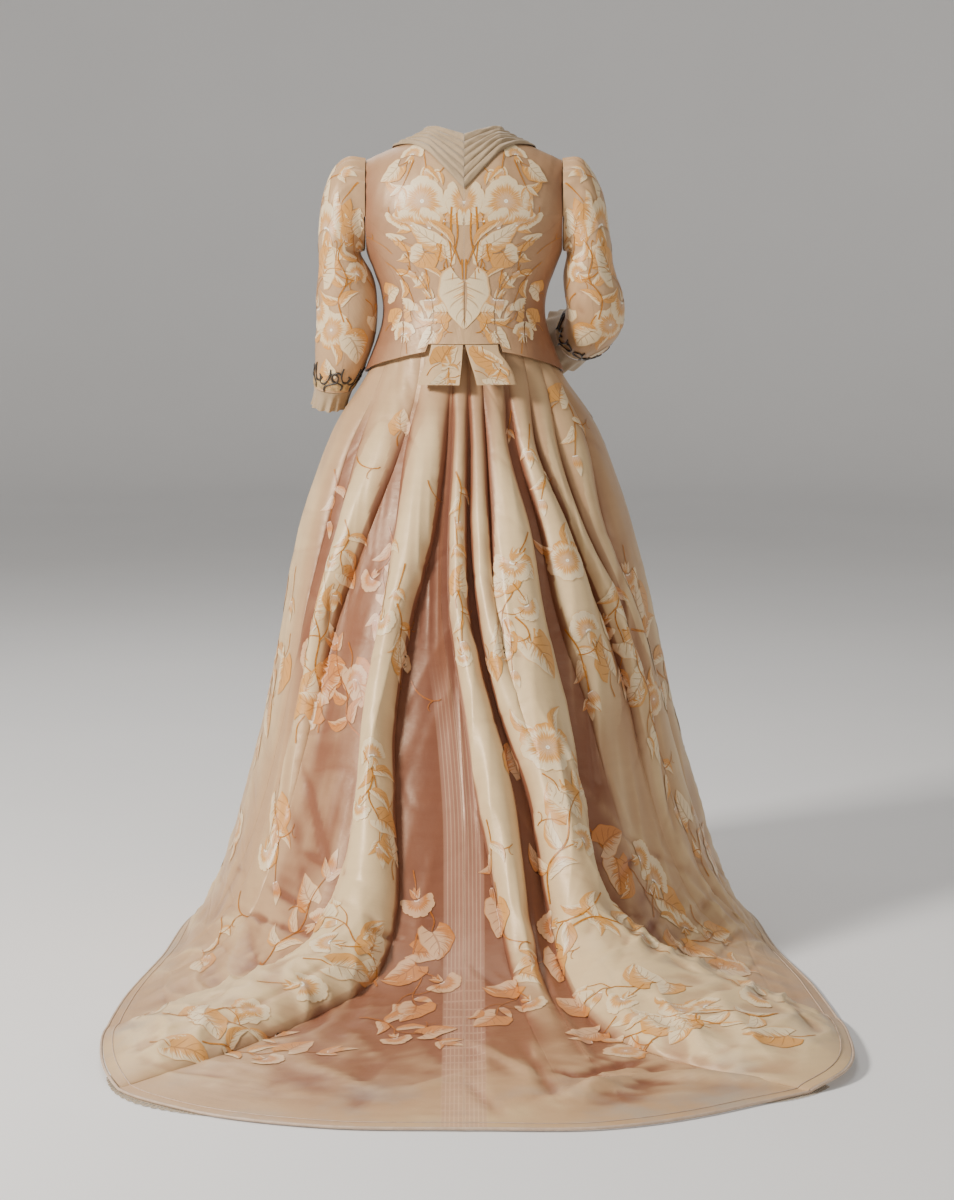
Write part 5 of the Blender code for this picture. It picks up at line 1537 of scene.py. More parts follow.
def cloth(name, points, normals, look, node_name, slot, painted_shade=None, soil=None, uv=None,
          thickness=0.0, wrap=False):
    """A piece of cloth: a grid of points, one layer thick or closed with an inner side."""
    rows, columns = points.shape[:2]
    if uv is None:
        uv = np.stack(lengths(points), -1)
    painted_shade = np.zeros((rows, columns)) if painted_shade is None else painted_shade
    soil = np.zeros((rows, columns)) if soil is None else soil
    if thickness:
        vertices, faces = wall(points, normals, thickness, wrap)
        corner, second, third = (vertices[i] for i in faces[0][:3])
        if np.dot(np.cross(second - corner, third - corner), normals[0, 0]) < 0:
            faces = [f[::-1] for f in faces]
        double = lambda values: np.concatenate([values.reshape(rows * columns, -1)] * 2)
        piece = add_mesh(name, vertices, faces, look, double(uv), double(painted_shade), double(soil), slot)
        piece.data.set_sharp_from_angle(angle=math.radians(50))
    else:
        faces = outward_faces(points, normals)
        piece = add_mesh(name, points.reshape(-1, 3), faces, look, uv.reshape(-1, 2), painted_shade.ravel(),
                         soil.ravel(), slot)
    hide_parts(node_name)
    return piece


def add_woven(name, found, slot):
    return add_mesh(name, np.concatenate(found.vertices), found.faces, ["leaf", "bloom", "stem"],
                    np.concatenate(found.uvs), np.concatenate(found.extra)[:, 0], None, slot,
                    found.slots, np.concatenate(found.normals), np.concatenate(found.extra)[:, 1], "motif")


# Skirt


def fine_columns(way):
    names = list(LINES)
    columns = []
    at_line = {}
    for name, following, count in zip(names, names[1:] + [None], STRIP_POINTS + (None,)):
        at_line[name] = len(columns)
        columns.append(line_place(name, way))
        if following:
            columns += strip_places(columns[-1], line_place(following, way), (count + 1) * STRIP_FINER - 1)
    front = 2 + LINES["front_right"][0] - LINES["front_left"][0]
    far = np.linspace(0, front, FINE_FRONT_POINTS + 2)[1:-1]
    for step in LINES["front_right"][0] - far:
        columns.append(step if step > -1 else step + 2)
    return np.array(columns), at_line


def crease_height(points):
    """Soft creases laid on the skirt: troughs and ridges between their two ends."""
    height = np.zeros(points.shape[:2])
    for place_1, way_1, place_2, way_2, width, depth in CREASES:
        ends = skirt_point(np.array([place_1, place_2]), np.array([way_1, way_2]))
        along = ends[1] - ends[0]
        share = np.clip(((points - ends[0]) @ along) / np.dot(along, along), 0, 1)
        away = np.linalg.norm(points - ends[0] - share[..., None] * along, axis=-1)
        faded = np.sin(np.pi * np.clip(share, 0.04, 0.96)) ** 0.6
        height += CREASE_GAIN * depth * np.exp(-((away / width) ** 2)) * faded
    return height


def ripple_height(places, ways):
    """Small uneven ripples of stiff satin, stronger where it lies on the floor."""
    warp = np.sin(places * 17 + 3 * np.sin(ways * 9)) + 0.6 * np.sin(ways * 23 - places * 11)
    small = np.sin(places * 61 + 2.4 * warp) * np.sin(ways * 47 + 1.9 * warp)
    broad = np.sin(places * 23 - ways * 31 + 2.2 * warp)
    across = np.exp(-((np.sin(ways * 41 + 1.3 * warp + places * 3) / 0.16) ** 2))
    across = across * (0.5 + 0.5 * np.sin(places * 43 + warp * 2))
    train = np.clip((ways - 0.55) / 0.25, 0, 1)
    return RIPPLE_SMALL * small + RIPPLE_BROAD * broad * (0.3 + train) - RIPPLE_ACROSS * across


def crumple_height(points, places, ways):
    """Slanting ridges of crushed satin where the train lies spread, in patches."""
    x, y = points[..., 0], points[..., 1]
    warp = 0.022 * np.sin(x * 21 + 3 * np.sin(y * 9)) + 0.014 * np.sin(y * 33 - x * 17)
    out = np.abs(x)
    first = 1 - np.abs(np.sin(np.pi * (out * 0.93 + y * 0.34 + warp) / 0.071)) ** 0.62
    second = 1 - np.abs(np.sin(np.pi * (out * 0.62 - y * 0.78 + 1.5 * warp) / 0.068)) ** 0.62
    gate = np.clip(0.68 + 0.6 * np.sin(x * 11 + 1.2) * np.sin(y * 9.5 + 0.6), 0, 1)
    other = np.clip(0.62 - 0.6 * np.sin(x * 9 + 0.3) * np.sin(y * 12 + 1.9), 0, 1)
    train = np.clip((ways - 0.56) / 0.16, 0, 1) * np.clip((1.0 - ways) / 0.05, 0, 1)
    upper = np.clip((ways - 0.18) / 0.2, 0, 1) * np.clip((0.66 - ways) / 0.1, 0, 1)
    along = np.abs(np.sin(np.pi * (places + 0.012 * np.sin(ways * 13 + places * 31)) / 0.031))
    spots = np.clip(0.25 + np.sin(places * 37 + 4 * ways) * np.sin(ways * 17 + places * 5), 0, 1)
    folds = np.clip((ways - 0.10) / 0.25, 0, 1) * np.clip((0.97 - ways) / 0.06, 0, 1)
    folds = folds * np.clip((0.62 - np.abs(places)) / 0.08, 0, 1)
    longways = (0.0018 + 0.0038 * ways) * (1 - along ** 0.6) * spots * folds
    calm = 0.30 + 0.70 * np.clip((np.abs(places) - 0.09) / 0.12, 0, 1) * np.clip((0.985 - ways) / 0.12, 0, 1)
    crumples = train * calm * (CRUMPLE_FIRST * first * gate + CRUMPLE_SECOND * second * other)
    return longways + crumples + upper * CRUMPLE_UPPER * second * other


def build_skirt():
    ways = np.linspace(0, 1, SKIRT_FINE_ROWS) ** 0.98
    places = []
    for way in ways:
        found, at_line = fine_columns(way)
        places.append(found)
    places = np.array(places)
    wide = np.repeat(ways[:, None], places.shape[1], axis=1)
    heights = fold_height(places, wide)
    points = skirt_base(places, wide) + skirt_normal(places, wide) * heights[..., None]
    normals = facing(grid_normals(points, wrap=True), skirt_normal(places, wide))
    fade = np.clip((1 - wide) / 0.03, 0, 1) * np.clip(wide / 0.02, 0, 1)
    on_folds = 0.65 + 0.95 * np.clip(heights / 0.028, 0, 1)
    crumples = crumple_height(points, places, wide) * on_folds
    relief = crease_height(points) + ripple_height(places, wide) + crumples
    points = points + normals * (relief * fade)[..., None]
    floor = CLOTH + FLOOR_CLEAR
    points[..., 2] = np.maximum(points[..., 2], floor)
    normals = facing(grid_normals(points, wrap=True), skirt_normal(places, wide))
    ends = np.concatenate([points, points[:, :1]], axis=1)
    end_normals = np.concatenate([normals, normals[:, :1]], axis=1)
    chart = Chart(ends, end_normals, at_line["centre_back"])

    # Painted shade and highlight for the satin: lighter on fold ridges, darker in the low centre channel, in
    # narrow recesses between tall folds and in crease hollows. A small sine adds uneven tone.
    low = np.clip(1 - heights / 0.016, 0, 1)
    around = np.stack([np.roll(heights, step, axis=1) for step in (-26, -17, -10, 10, 17, 26)])
    depth = np.clip((around.max(axis=0) - heights) / 0.020, 0, 1) * (heights < 0.012)
    centre = np.exp(-(((places + 0.02) / 0.20) ** 4))
    below = np.clip((wide - 0.02) / 0.10, 0, 1) * np.clip((0.99 - wide) / 0.20, 0, 1)
    painted_shade = 0.42 + 0.62 * low * centre * below - 0.38 * np.clip(heights / 0.030, 0, 1)
    painted_shade += 0.75 * depth * np.clip(1.25 - wide * 1.25, 0, 1) * np.clip((0.62 - np.abs(places)) / 0.1, 0, 1)
    painted_shade += 0.10 * np.sin(places * 19 + 2) * np.sin(wide * 11 + places * 7)
    mean = sum(np.roll(relief, step, axis) for step in (-9, -4, 4, 9) for axis in (0, 1)) / 8
    clear = np.clip(wide / 0.1, 0, 1) * np.clip((1 - wide) / 0.04, 0, 1)
    painted_shade += 110 * np.clip(mean - relief, -0.0015, 0.0032) * clear
    painted_shade = np.concatenate([painted_shade, painted_shade[:, :1]], axis=1)
    soil = np.clip((wide - 0.86) / 0.12, 0, 1)
    soil = np.concatenate([soil, soil[:, :1]], axis=1)
    uv = np.stack([chart.s, chart.t], -1)

    spans = {name: (at_line[first], at_line[last]) for name, first, last in SKIRT_PANELS}
    spans["skirt_front"] = (at_line["front_right"], places.shape[1])

    def owner(r, c):
        for name, (first, last) in spans.items():
            if first <= c < last:
                return name
        return "skirt_front"

    sprays = []
    for kind, place, way, turn, size in SPRAYS:
        r0 = np.interp(way, ways, np.arange(len(ways)))
        line = places[int(round(r0))]
        c0 = np.interp(-place, -line[: at_line["front_right"] + 1], np.arange(at_line["front_right"] + 1))
        if abs(place) > 0.7:
            beyond = -0.7 - (place if place < 0 else place - 2)
            c0 = at_line["front_right"] + beyond / 0.6 * (FINE_FRONT_POINTS + 1)
        sprays.append((kind, r0, c0, turn, size))
    woven = weave(chart, sprays, owner, extra=painted_shade)

    for name, (first, last) in spans.items():
        part = slice(first, last + 1)
        panel = seam_shift(ends[:, part], False, False, True, True)
        if name in woven:
            add_woven("woven_" + name, woven[name], "satin")
        look = "striped" if "inner" in name else "satin"
        cloth("satin_" + name, panel, end_normals[:, part], look, name,
              "satin",
              painted_shade[:, part], soil[:, part], uv[:, part])
    build_hem(points, normals, chart)


def tube(centre, radius, sides, closed=False):
    """Points and faces of a tube along a line; radius may change along it."""
    centre = np.asarray(centre, float)
    radius = np.broadcast_to(radius, (len(centre),))
    if closed:
        along = unit(np.roll(centre, -1, axis=0) - np.roll(centre, 1, axis=0))
    else:
        along = unit(np.gradient(centre, axis=0))
    out = unit(np.cross(along, np.array([0.13, 0.21, 0.97])))
    up = np.cross(out, along)
    turn = 2 * np.pi * np.arange(sides) / sides
    ring = out[:, None] * np.cos(turn)[None, :, None] + up[:, None] * np.sin(turn)[None, :, None]
    points = centre[:, None] + ring * radius[:, None, None]
    faces = []
    count = len(centre)
    for i in range(count if closed else count - 1):
        j = (i + 1) % count
        for s in range(sides):
            k = (s + 1) % sides
            faces.append((i * sides + s, j * sides + s, j * sides + k, i * sides + k))
    if not closed:
        faces.append(tuple(range(sides)))
        faces.append(tuple((count - 1) * sides + s for s in reversed(range(sides))))
    return points.reshape(-1, 3), faces


def build_hem(points, normals, chart):
    """The covered cord at the edge and the welt a little above it."""
    middle = points[-1] - np.array([0, 0, CLOTH / 2])
    beyond = unit(points[-1] - points[-2])
    centre = middle + beyond * (HEM_CORD_RADIUS + SEAM_GAP + CLOTH * 0.35)
    lowest = RUFFLE_FLOOR + RUFFLE_THICKNESS + SEAM_GAP + HEM_CORD_RADIUS
    centre[:, 2] = np.maximum(centre[:, 2], lowest)
    piping = add_mesh("hem_piping", *tube(centre, HEM_CORD_RADIUS, 8, closed=True), "cord", slot="cord")
    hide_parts("hem_cord")
    line = []
    for c in range(points.shape[1]):
        t = chart.t[:, c]
        r = np.interp(t[-1] - WELT_UP, t, np.arange(len(t)))
        low = min(int(r), len(t) - 2)
        f = r - low
        line.append(points[low, c] * (1 - f) + points[low + 1, c] * f + normals[low, c] * 0.0004)
    add_mesh("hem_welt", *tube(line, WELT_RADIUS, 6, closed=True), "cord", slot="satin")


# Bodice


def with_fine_hem(rows, angles, hem_first, hem_last, count=16):
    """Adds rows of points down to the hem of a panel; returns its angles and ways."""
    hem, hem_ways = with_hem(rows, angles, hem_first, hem_last)
    share = np.linspace(0, 1, count, endpoint=False)[:, None]
    low_angles = hem[0] + (hem[1] - hem[0]) * share
    low_ways = hem_ways[0] + (hem_ways[1] - hem_ways[0]) * share
    return np.concatenate([low_angles, hem[1:]]), np.concatenate([low_ways, hem_ways[1:]])


# Soft creases of the bodice and sleeves: two ends, half width, depth
BODICE_CREASES = (
    # x_1, y_1, z_1, x_2, y_2, z_2, width, depth
    (0.166, 0.060, 1.225, 0.128, 0.090, 1.170, 0.006, -0.0016),
    (0.162, 0.066, 1.260, 0.120, 0.095, 1.235, 0.006, -0.0014),
    (-0.166, 0.060, 1.228, -0.130, 0.088, 1.180, 0.006, -0.0016),
    (-0.160, 0.068, 1.262, -0.118, 0.096, 1.245, 0.006, -0.0013),
    (0.118, 0.075, 1.100, 0.090, 0.090, 1.082, 0.005, -0.0010),
    (-0.120, 0.074, 1.105, -0.094, 0.088, 1.080, 0.005, -0.0010),
    (0.052, 0.104, 1.072, 0.030, 0.108, 1.084, 0.005, -0.0008),
    (-0.050, 0.104, 1.070, -0.026, 0.108, 1.080, 0.005, -0.0008),
    (0.150, 0.030, 1.060, 0.118, 0.072, 1.048, 0.007, -0.0012),
    (-0.150, 0.030, 1.058, -0.118, 0.072, 1.050, 0.007, -0.0012),
    (0.130, -0.070, 1.190, 0.090, -0.110, 1.150, 0.008, -0.0014),
    (-0.130, -0.070, 1.195, -0.090, -0.112, 1.160, 0.008, -0.0014),
)
SLEEVE_CREASES = (
    # x_1, y_1, z_1, x_2, y_2, z_2, width, depth
    (0.190, 0.058, 1.152, 0.252, 0.020, 1.128, 0.006, -0.0030),
    (0.180, 0.050, 1.120, 0.225, 0.056, 1.098, 0.006, -0.0022),
    (0.240, 0.040, 1.080, 0.200, 0.055, 1.058, 0.006, -0.0022),
    (0.178, 0.030, 1.050, 0.214, 0.046, 1.030, 0.005, -0.0018),
    (0.232, 0.030, 1.200, 0.238, 0.034, 1.150, 0.006, -0.0022),
    (0.256, 0.000, 1.120, 0.254, -0.030, 1.060, 0.007, -0.0020),
    (-0.188, 0.056, 1.150, -0.250, 0.030, 1.130, 0.006, -0.0030),
    (-0.192, 0.054, 1.118, -0.262, 0.030, 1.100, 0.006, -0.0032),
    (-0.190, 0.044, 1.085, -0.262, 0.020, 1.072, 0.006, -0.0030),
    (-0.185, 0.028, 1.062, -0.255, 0.000, 1.048, 0.006, -0.0026),
    (-0.236, 0.030, 1.196, -0.244, 0.036, 1.150, 0.006, -0.0022),
    (-0.270, -0.020, 1.110, -0.262, -0.050, 1.070, 0.006, -0.0022),
    (-0.205, -0.045, 1.088, -0.180, -0.030, 1.090, 0.006, -0.0030),
)


def segment_creases(points, table):
    height = np.zeros(points.shape[:-1])
    for x_1, y_1, z_1, x_2, y_2, z_2, width, depth in table:
        start, along = np.array([x_1, y_1, z_1]), np.array([x_2 - x_1, y_2 - y_1, z_2 - z_1])
        share = np.clip((points - start) @ along / np.dot(along, along), 0, 1)
        away = np.linalg.norm(points - start - share[..., None] * along, axis=-1)
        height += depth * np.exp(-((away / width) ** 2)) * np.sin(np.pi * np.clip(share, 0.05, 0.95)) ** 0.6
    return height


def bodice_sprays(chart, table, side, front):
    """Rows and columns of the chart nearest to the sprays' places."""
    placed = []
    flat = chart.points.reshape(-1, 3)
    for kind, x, z, turn, size in table:
        target = np.array([side * x, 0, z])
        gap = np.abs(flat[:, 0] - target[0]) ** 2 + np.abs(flat[:, 2] - target[2]) ** 2
        gap += np.where((flat[:, 1] > 0) == (not front), 0, 9.0)
        best = int(np.argmin(gap))
        if gap[best] < SPRAY_REACH**2:
            placed.append((kind, best // chart.points.shape[1], best % chart.points.shape[1], turn, size))
    return placed


def bodice_panel(name, angles, ways, side, table=(), front=False, edges=(False, False, True, True)):
    points = mirrored(torso(angles, ways), side)
    normals = mirrored(torso_normal(angles, ways), side)
    relief = segment_creases(points, BODICE_CREASES)
    x, z = points[..., 0], points[..., 2]
    relief += BODICE_RIPPLE * np.sin(z * 91 + 7 * np.sin(x * 43)) * np.sin(x * 67)
    points = points + normals * np.minimum(relief, BODICE_RELIEF_MOST)[..., None]
    # rows from top to bottom and columns from left to right as seen from outside
    grid, out = points[::-1], normals[::-1]
    middle = (grid.shape[0] // 2, grid.shape[1] // 2)
    rightward = np.cross(np.array([0, 0, 1.0]), out[middle])
    if np.dot(grid[middle[0], middle[1] + 1] - grid[middle[0], middle[1] - 1], rightward) < 0:
        grid, out = grid[:, ::-1], out[:, ::-1]
    chart = Chart(grid, out, grid.shape[1] // 2)
    # Painted shade: darker where the bodice turns to the sides
    painted_shade = np.clip(0.40 + 0.7 * np.abs(out[..., 0]), 0.40, 0.95)
    found = weave(chart, bodice_sprays(chart, table, side, front), lambda r, c: name, painted_shade * 0.4,
                  flip=side < 0)
    on_it = [add_woven("woven_" + name, found[name], "brocade")] if name in found else []
    panel = seam_shift(points, *edges)[::-1]
    if grid is not points[::-1] and np.allclose(grid[0, 0], points[::-1][0, -1]):
        panel = panel[:, ::-1]
    cloth("satin_" + name, panel, out, "brocade", name, "brocade",
          painted_shade, None, np.stack([chart.s, chart.t], -1), thickness=SATIN_SHELL)


def build_bodice(side, word):
    rows = BODY_ROWS
    back_seam = seam_angle(1, rows)
    side_back_seam = np.minimum(seam_angle(2, rows), armhole_angle(rows))
    low_back_seam = seam_angle(1, hem_height(seam_angle(1, TAIL_TOP)))
    low_side_back_seam = seam_angle(2, hem_height(seam_angle(2, TAIL_TOP)))
    table = tuple((kind, x, z, -turn, size) for kind, x, z, turn, size in BODICE_SPRAYS)

    back_rows = np.append(np.linspace(TAIL_TOP, rows[0], 4)[:-1], rows)
    angles = body_angles(back_rows, 0.0, seam_angle(1, back_rows), BACK_POINTS)
    ways = np.repeat(way_of_height(back_rows)[:, None], BACK_POINTS, axis=1)
    angles, ways = with_shoulder(angles, ways, back_seam[-1], NECK_BACK_WAY)
    bodice_panel(f"bodice_back_{word}", angles, ways, side, table, False, (True, True, True, True))

    angles = body_angles(rows, back_seam, side_back_seam, SIDE_BACK_POINTS)
    angles, ways = with_fine_hem(rows, angles, low_back_seam, low_side_back_seam)
    bodice_panel(f"bodice_side_back_{word}", angles, ways, side, table)

    under = rows[rows < SIDE_PANEL_TOP]
    under_edge = np.minimum(SIDE_SEAM, armhole_angle(under))
    angles = body_angles(under, side_back_seam[: len(under)], under_edge, SIDE_POINTS)
    angles, ways = with_fine_hem(under, angles, low_side_back_seam, SIDE_SEAM)
    bodice_panel(f"bodice_side_{word}", angles, ways, side, table)

    front_edge = np.maximum(SIDE_SEAM, 180 - armhole_angle(rows))
    angles = body_angles(rows, front_edge, 180.0, BODICE_FRONT_POINTS)
    angles, ways = with_fine_hem(rows, angles, SIDE_SEAM, 180.0)
    angles, ways = 180 - angles[:, ::-1], ways[:, ::-1]
    angles, ways = with_shoulder(angles, ways, 180 - front_edge[-1], 2 - NECK_FRONT_WAY)
    bodice_panel(f"bodice_front_{word}", 180 - angles, ways, side, FRONT_SPRAYS, True,
                 (False, True, True, True))


def build_waistband():
    angles = np.arange(160) * 360.0 / 160
    rows = []
    for z in np.linspace(SKIRT_TOP + SEAM_GAP, BAND_TOP, 5):
        back = ring(np.where(angles > 180, 360 - angles, angles), np.full(len(angles), z))
        back[:, 0] *= np.where(angles > 180, -1, 1)
        rows.append(back)
    points = np.array(rows)[::-1]
    normals = facing(grid_normals(points, wrap=True), points * np.array([1, 1, 0]))
    seated = points - normals * (CLOTH + BAND_CLEARANCE)
    cloth("satin_waistband", seated, normals, "satin", "skirt_waistband",
          "band",
          thickness=BAND_SHELL, wrap=True)


def fine_rows(table, per_span):
    """The rows of a table with smooth ones between them."""
    table = np.array(table, float)
    keys = np.arange(len(table))
    at = np.linspace(0, len(table) - 1, (len(table) - 1) * per_span + 1)
    return np.stack([curve(at, keys, table[:, i]) for i in range(table.shape[1])], -1)


def build_tail(side, word):
    rows, thick = [], []
    for down, left_vent, left, right_vent, right, stand_off, spacing in fine_rows(TAIL_ROWS, 9):
        vent, edge = (left_vent, left) if side > 0 else (-right_vent, -right)
        z = TAIL_TOP - TAIL_SEAM_DROP - down
        half_width = looked_up(TORSO, z, 1)
        depth = looked_up(TORSO, z, 2)
        path = tail_path(vent, edge, spacing)
        y = depth * np.sqrt(1 - (path[:, 0] / half_width) ** 2) + stand_off
        y = y + 0.0016 * np.clip(down / 0.04, 0, 1) * np.sin(path[:, 0] * 130 + side)
        rows.append(np.stack([path[:, 0], y + path[:, 1], np.full(len(path), z)], axis=-1))
        step = np.gradient(path, axis=0)
        thick.append(unit(np.stack([-step[:, 1], step[:, 0], np.zeros(len(path))], axis=-1)))
    points, normals = mirrored(np.array(rows), side), mirrored(np.array(thick), side)
    first = TAIL_TOP_POINTS
    grid, out = points[:, :first], normals[:, :first]
    if side > 0:
        grid, out = grid[:, ::-1], out[:, ::-1]
    chart = Chart(grid, out, grid.shape[1] // 2)
    middle = grid.shape[1] // 2
    sprays = [("leaf", 18, middle - 3 * side, 150 * side, 0.72), ("sprig", 26, middle + 3, 20 * side, 0.5),
              ("leaf", 30, middle + 4 * side, -60 * side, 0.62), ("bud", 12, middle, -10 * side, 0.7)]
    found = weave(chart, sprays, lambda r, c: "tail", extra=np.full(grid.shape[:2], 0.3))
    on_it = [add_woven(f"woven_tail_{word}", found["tail"], "brocade")] if "tail" in found else []
    # Painted shade: the layers under the tail's top layer are darker
    painted_shade = np.full(points.shape[:2], 0.35)
    painted_shade[:, first + 3:] = 1.0
    cloth(f"satin_tail_{word}", points, normals, "brocade", f"tail_{word}",
          "brocade", painted_shade, None, thickness=THIN_SHELL)


# Sleeves and cuffs


def fine_sections(sections, per_span):
    flat = [np.concatenate([c, o, d, [w, h]]) for c, o, d, w, h in sections]
    made = []
    for row in fine_rows(flat, per_span):
        outward = unit(row[3:6])
        deep = unit(row[6:9] - outward * np.dot(row[6:9], outward))
        made.append((row[:3], outward, deep, row[9], row[10]))
    return made


def build_sleeve(side, word, head, arm):
    sections = fine_sections(section_frames(head, arm, side), ROWS_PER_SECTION)
    first, last = SLEEVE_SEAMS
    upper = np.linspace(first, last, UPPER_POINTS)
    under = np.linspace(last, first + 360, UNDER_POINTS)
    angles = np.concatenate([upper, under[1:-1]])
    turn = np.radians(angles)
    rows = []
    for number, section in enumerate(sections):
        at = number / ROWS_PER_SECTION
        fade = max(0, 1 - at / 4.2) ** 1.3
        over_head = np.clip(np.cos(turn), 0, 1) ** 0.7
        uneven = 0.75 + 0.35 * np.sin(turn * 3.1 + at) + 0.2 * np.sin(turn * 7.3)
        depth = 0.0042 / section[3] * fade * over_head * uneven
        ripple = depth * np.sin(turn * HEAD_GATHERS * 1.55 + 0.8 * np.sin(turn * 5 + at * 0.5))
        swell = 0.0015 / section[3] * np.sin(turn * 2 + at * 1.3) * np.sin(at * 1.9)
        rows.append(sleeve_ring(section, angles, ripple + swell))
    points = clear_of_torso(np.array(rows), side, CLOTH + SLEEVE_CLEARANCE)
    centres = np.array([section[0] for section in sections])[:, None]
    normals = facing(grid_normals(points, wrap=True), points - centres)
    points = points + normals * segment_creases(points, SLEEVE_CREASES)[..., None]
    normals = facing(grid_normals(points, wrap=True), points - centres)
    columns = np.arange(len(angles))
    halves = (
        (f"sleeve_upper_{word}", columns[:UPPER_POINTS]),
        (f"sleeve_under_{word}", np.append(columns[UPPER_POINTS - 1:], 0)),
    )
    loop = np.append(columns, 0)
    grid, out = points[:, loop], normals[:, loop]
    flip = side > 0
    if flip:
        grid, out = grid[:, ::-1], out[:, ::-1]
    chart = Chart(grid, out, grid.shape[1] // 2)
    keys = np.append(angles, angles[0] + 360)

    def owner(r, c):
        return halves[0][0] if (len(loop) - 1 - c if flip else c) <= UPPER_POINTS - 1 else halves[1][0]

    sprays = []
    for kind, angle, share, spin, size in SLEEVE_SPRAYS:
        wanted = angle if angle >= first else angle + 360
        c = np.interp(wanted, keys, np.arange(len(keys)))
        c = len(loop) - 1 - c if flip else c
        sprays.append((kind, share * (len(grid) - 1), c, spin, size))
    trims = sleeve_trims(word, chart, len(loop), keys, flip)
    found = weave(chart, sprays, owner, np.full(grid.shape[:2], 0.3), flip)
    for name, part in halves:
        panel = seam_shift(points[:, part], False, False, True, True)
        on_it = [add_woven("woven_" + name, found[name], "brocade")] if name in found else []
        if "upper" in name:
            on_it += trims
        # Painted shade: darker in the sleeve's creases
        painted_shade = np.clip(0.48 - 120 * np.minimum(segment_creases(panel, SLEEVE_CREASES), 0), 0.4, 0.95)
        cloth("satin_" + name, panel, normals[:, part], "brocade", name,
              "brocade", painted_shade, None, thickness=SATIN_SHELL)


def sleeve_trims(word, chart, count, keys, flip):
    """Curling black trims and a gold scalloped band round the lower sleeve."""
    rows = len(chart.points)
    made = []
    hooks = [(0, 0), (0.001, -0.008), (-0.001, -0.016), (-0.005, -0.022), (-0.011, -0.022),
             (-0.013, -0.017), (-0.010, -0.013)]
    curls = [(0, 0.004), (0.006, 0.008), (0.012, 0.004), (0.011, -0.004), (0.004, -0.007), (-0.004, -0.012),
             (-0.004, -0.019)]
    for number in range(9):
        angle = -95 + number * 40.0 + 6 * math.sin(number * 2.1)
        wanted = angle if angle >= keys[0] else angle + 360
        c = np.interp(wanted, keys, np.arange(len(keys)))
        c = count - 1 - c if flip else c
        for up, shape in ((0.045, hooks), (0.026, curls)):
            line = np.array(shape) * np.array([1 if number % 2 else -1, 1.0]) * 1.3
            line = fine_rows(line, 5)
            t_end = chart.t[-1, int(min(c, chart.t.shape[1] - 1))]
            r0 = np.interp(t_end - up - 0.004 * (number % 2), chart.t[:, int(c)], np.arange(rows))
            r, cc, inside = chart.spread(r0, c, np.stack([line[:, 0], -line[:, 1]], -1))
            r = np.clip(r, 0, rows - 1.001)
            if not inside[:-4].all():
                continue
            points = chart.between(chart.points, r, cc) + unit(chart.between(chart.normals, r, cc)) * 0.0012
            keep = inside.nonzero()[0]
            points = points[keep]
            share = np.linspace(0, 1, len(points))
            made.append(tube(points, TRIM_RADIUS * (0.70 + 0.5 * np.sin(share * 9) ** 2), 8))
    return [add_mesh(f"black_trims_{word}", *joined(made), "jet", slot="brocade"), sleeve_band(word, chart)]


def joined(parts):
    """Points and faces of several tubes as one."""
    starts = np.cumsum([0] + [len(points) for points, _ in parts])
    faces = [tuple(int(start) + i for i in f) for start, part in zip(starts, parts) for f in part[1]]
    return np.concatenate([part[0] for part in parts]), faces


def sleeve_band(word, chart):
    """A gold band with scallops, just above the end of the sleeve."""
    count = 260
    columns = np.linspace(0.5, chart.points.shape[1] - 1.5, count)
    rows = []
    out = []
    for share in np.linspace(0, 1, 7):
        r = np.empty(count)
        for i, c in enumerate(columns):
            t = chart.t[:, int(c)]
            top = 0.019 + 0.0045 * abs(math.sin(i * math.pi * 13 / (count - 1)))
            r[i] = np.interp(t[-1] - top + (top - 0.004) * share, t, np.arange(len(t)))
        lift = 0.0006 + 0.0006 * math.sin(math.pi * share)
        outward = unit(chart.between(chart.normals, r, columns))
        rows.append(chart.between(chart.points, r, columns) + outward * lift)
        out.append(unit(chart.between(chart.normals, r, columns)))
    points = np.array(rows)
    faces = outward_faces(points, np.array(out))
    return add_mesh(f"gold_band_{word}", points.reshape(-1, 3), faces, "galloon", slot="brocade")


def build_cuff(side, word, rows):
    sections = fine_sections(arm_frames(rows, side), 7)
    count = CUFF_WAVES * 14
    angles = np.arange(count) * 360.0 / count
    points = []
    for number, section in enumerate(sections):
        grow = number / (len(sections) - 1)
        phase = np.radians(angles * CUFF_WAVES) + 0.5 * np.sin(np.radians(angles * 3))
        uneven = 0.8 + 0.3 * np.sin(np.radians(angles * 5))
        ripple = CUFF_WAVE_DEPTH / section[3] * grow * np.cos(phase) * uneven
        points.append(sleeve_ring(section, angles, ripple))
    points = np.array(points)
    centres = np.array([section[0] for section in sections])[:, None]
    normals = facing(grid_normals(points, wrap=True), points - centres)
    cloth(f"gauze_cuff_{word}", points, normals, "gauze", f"cuff_{word}",
          "gauze", np.full(points.shape[:2], 0.1), thickness=THIN_SHELL, wrap=True)


# Collar and lace


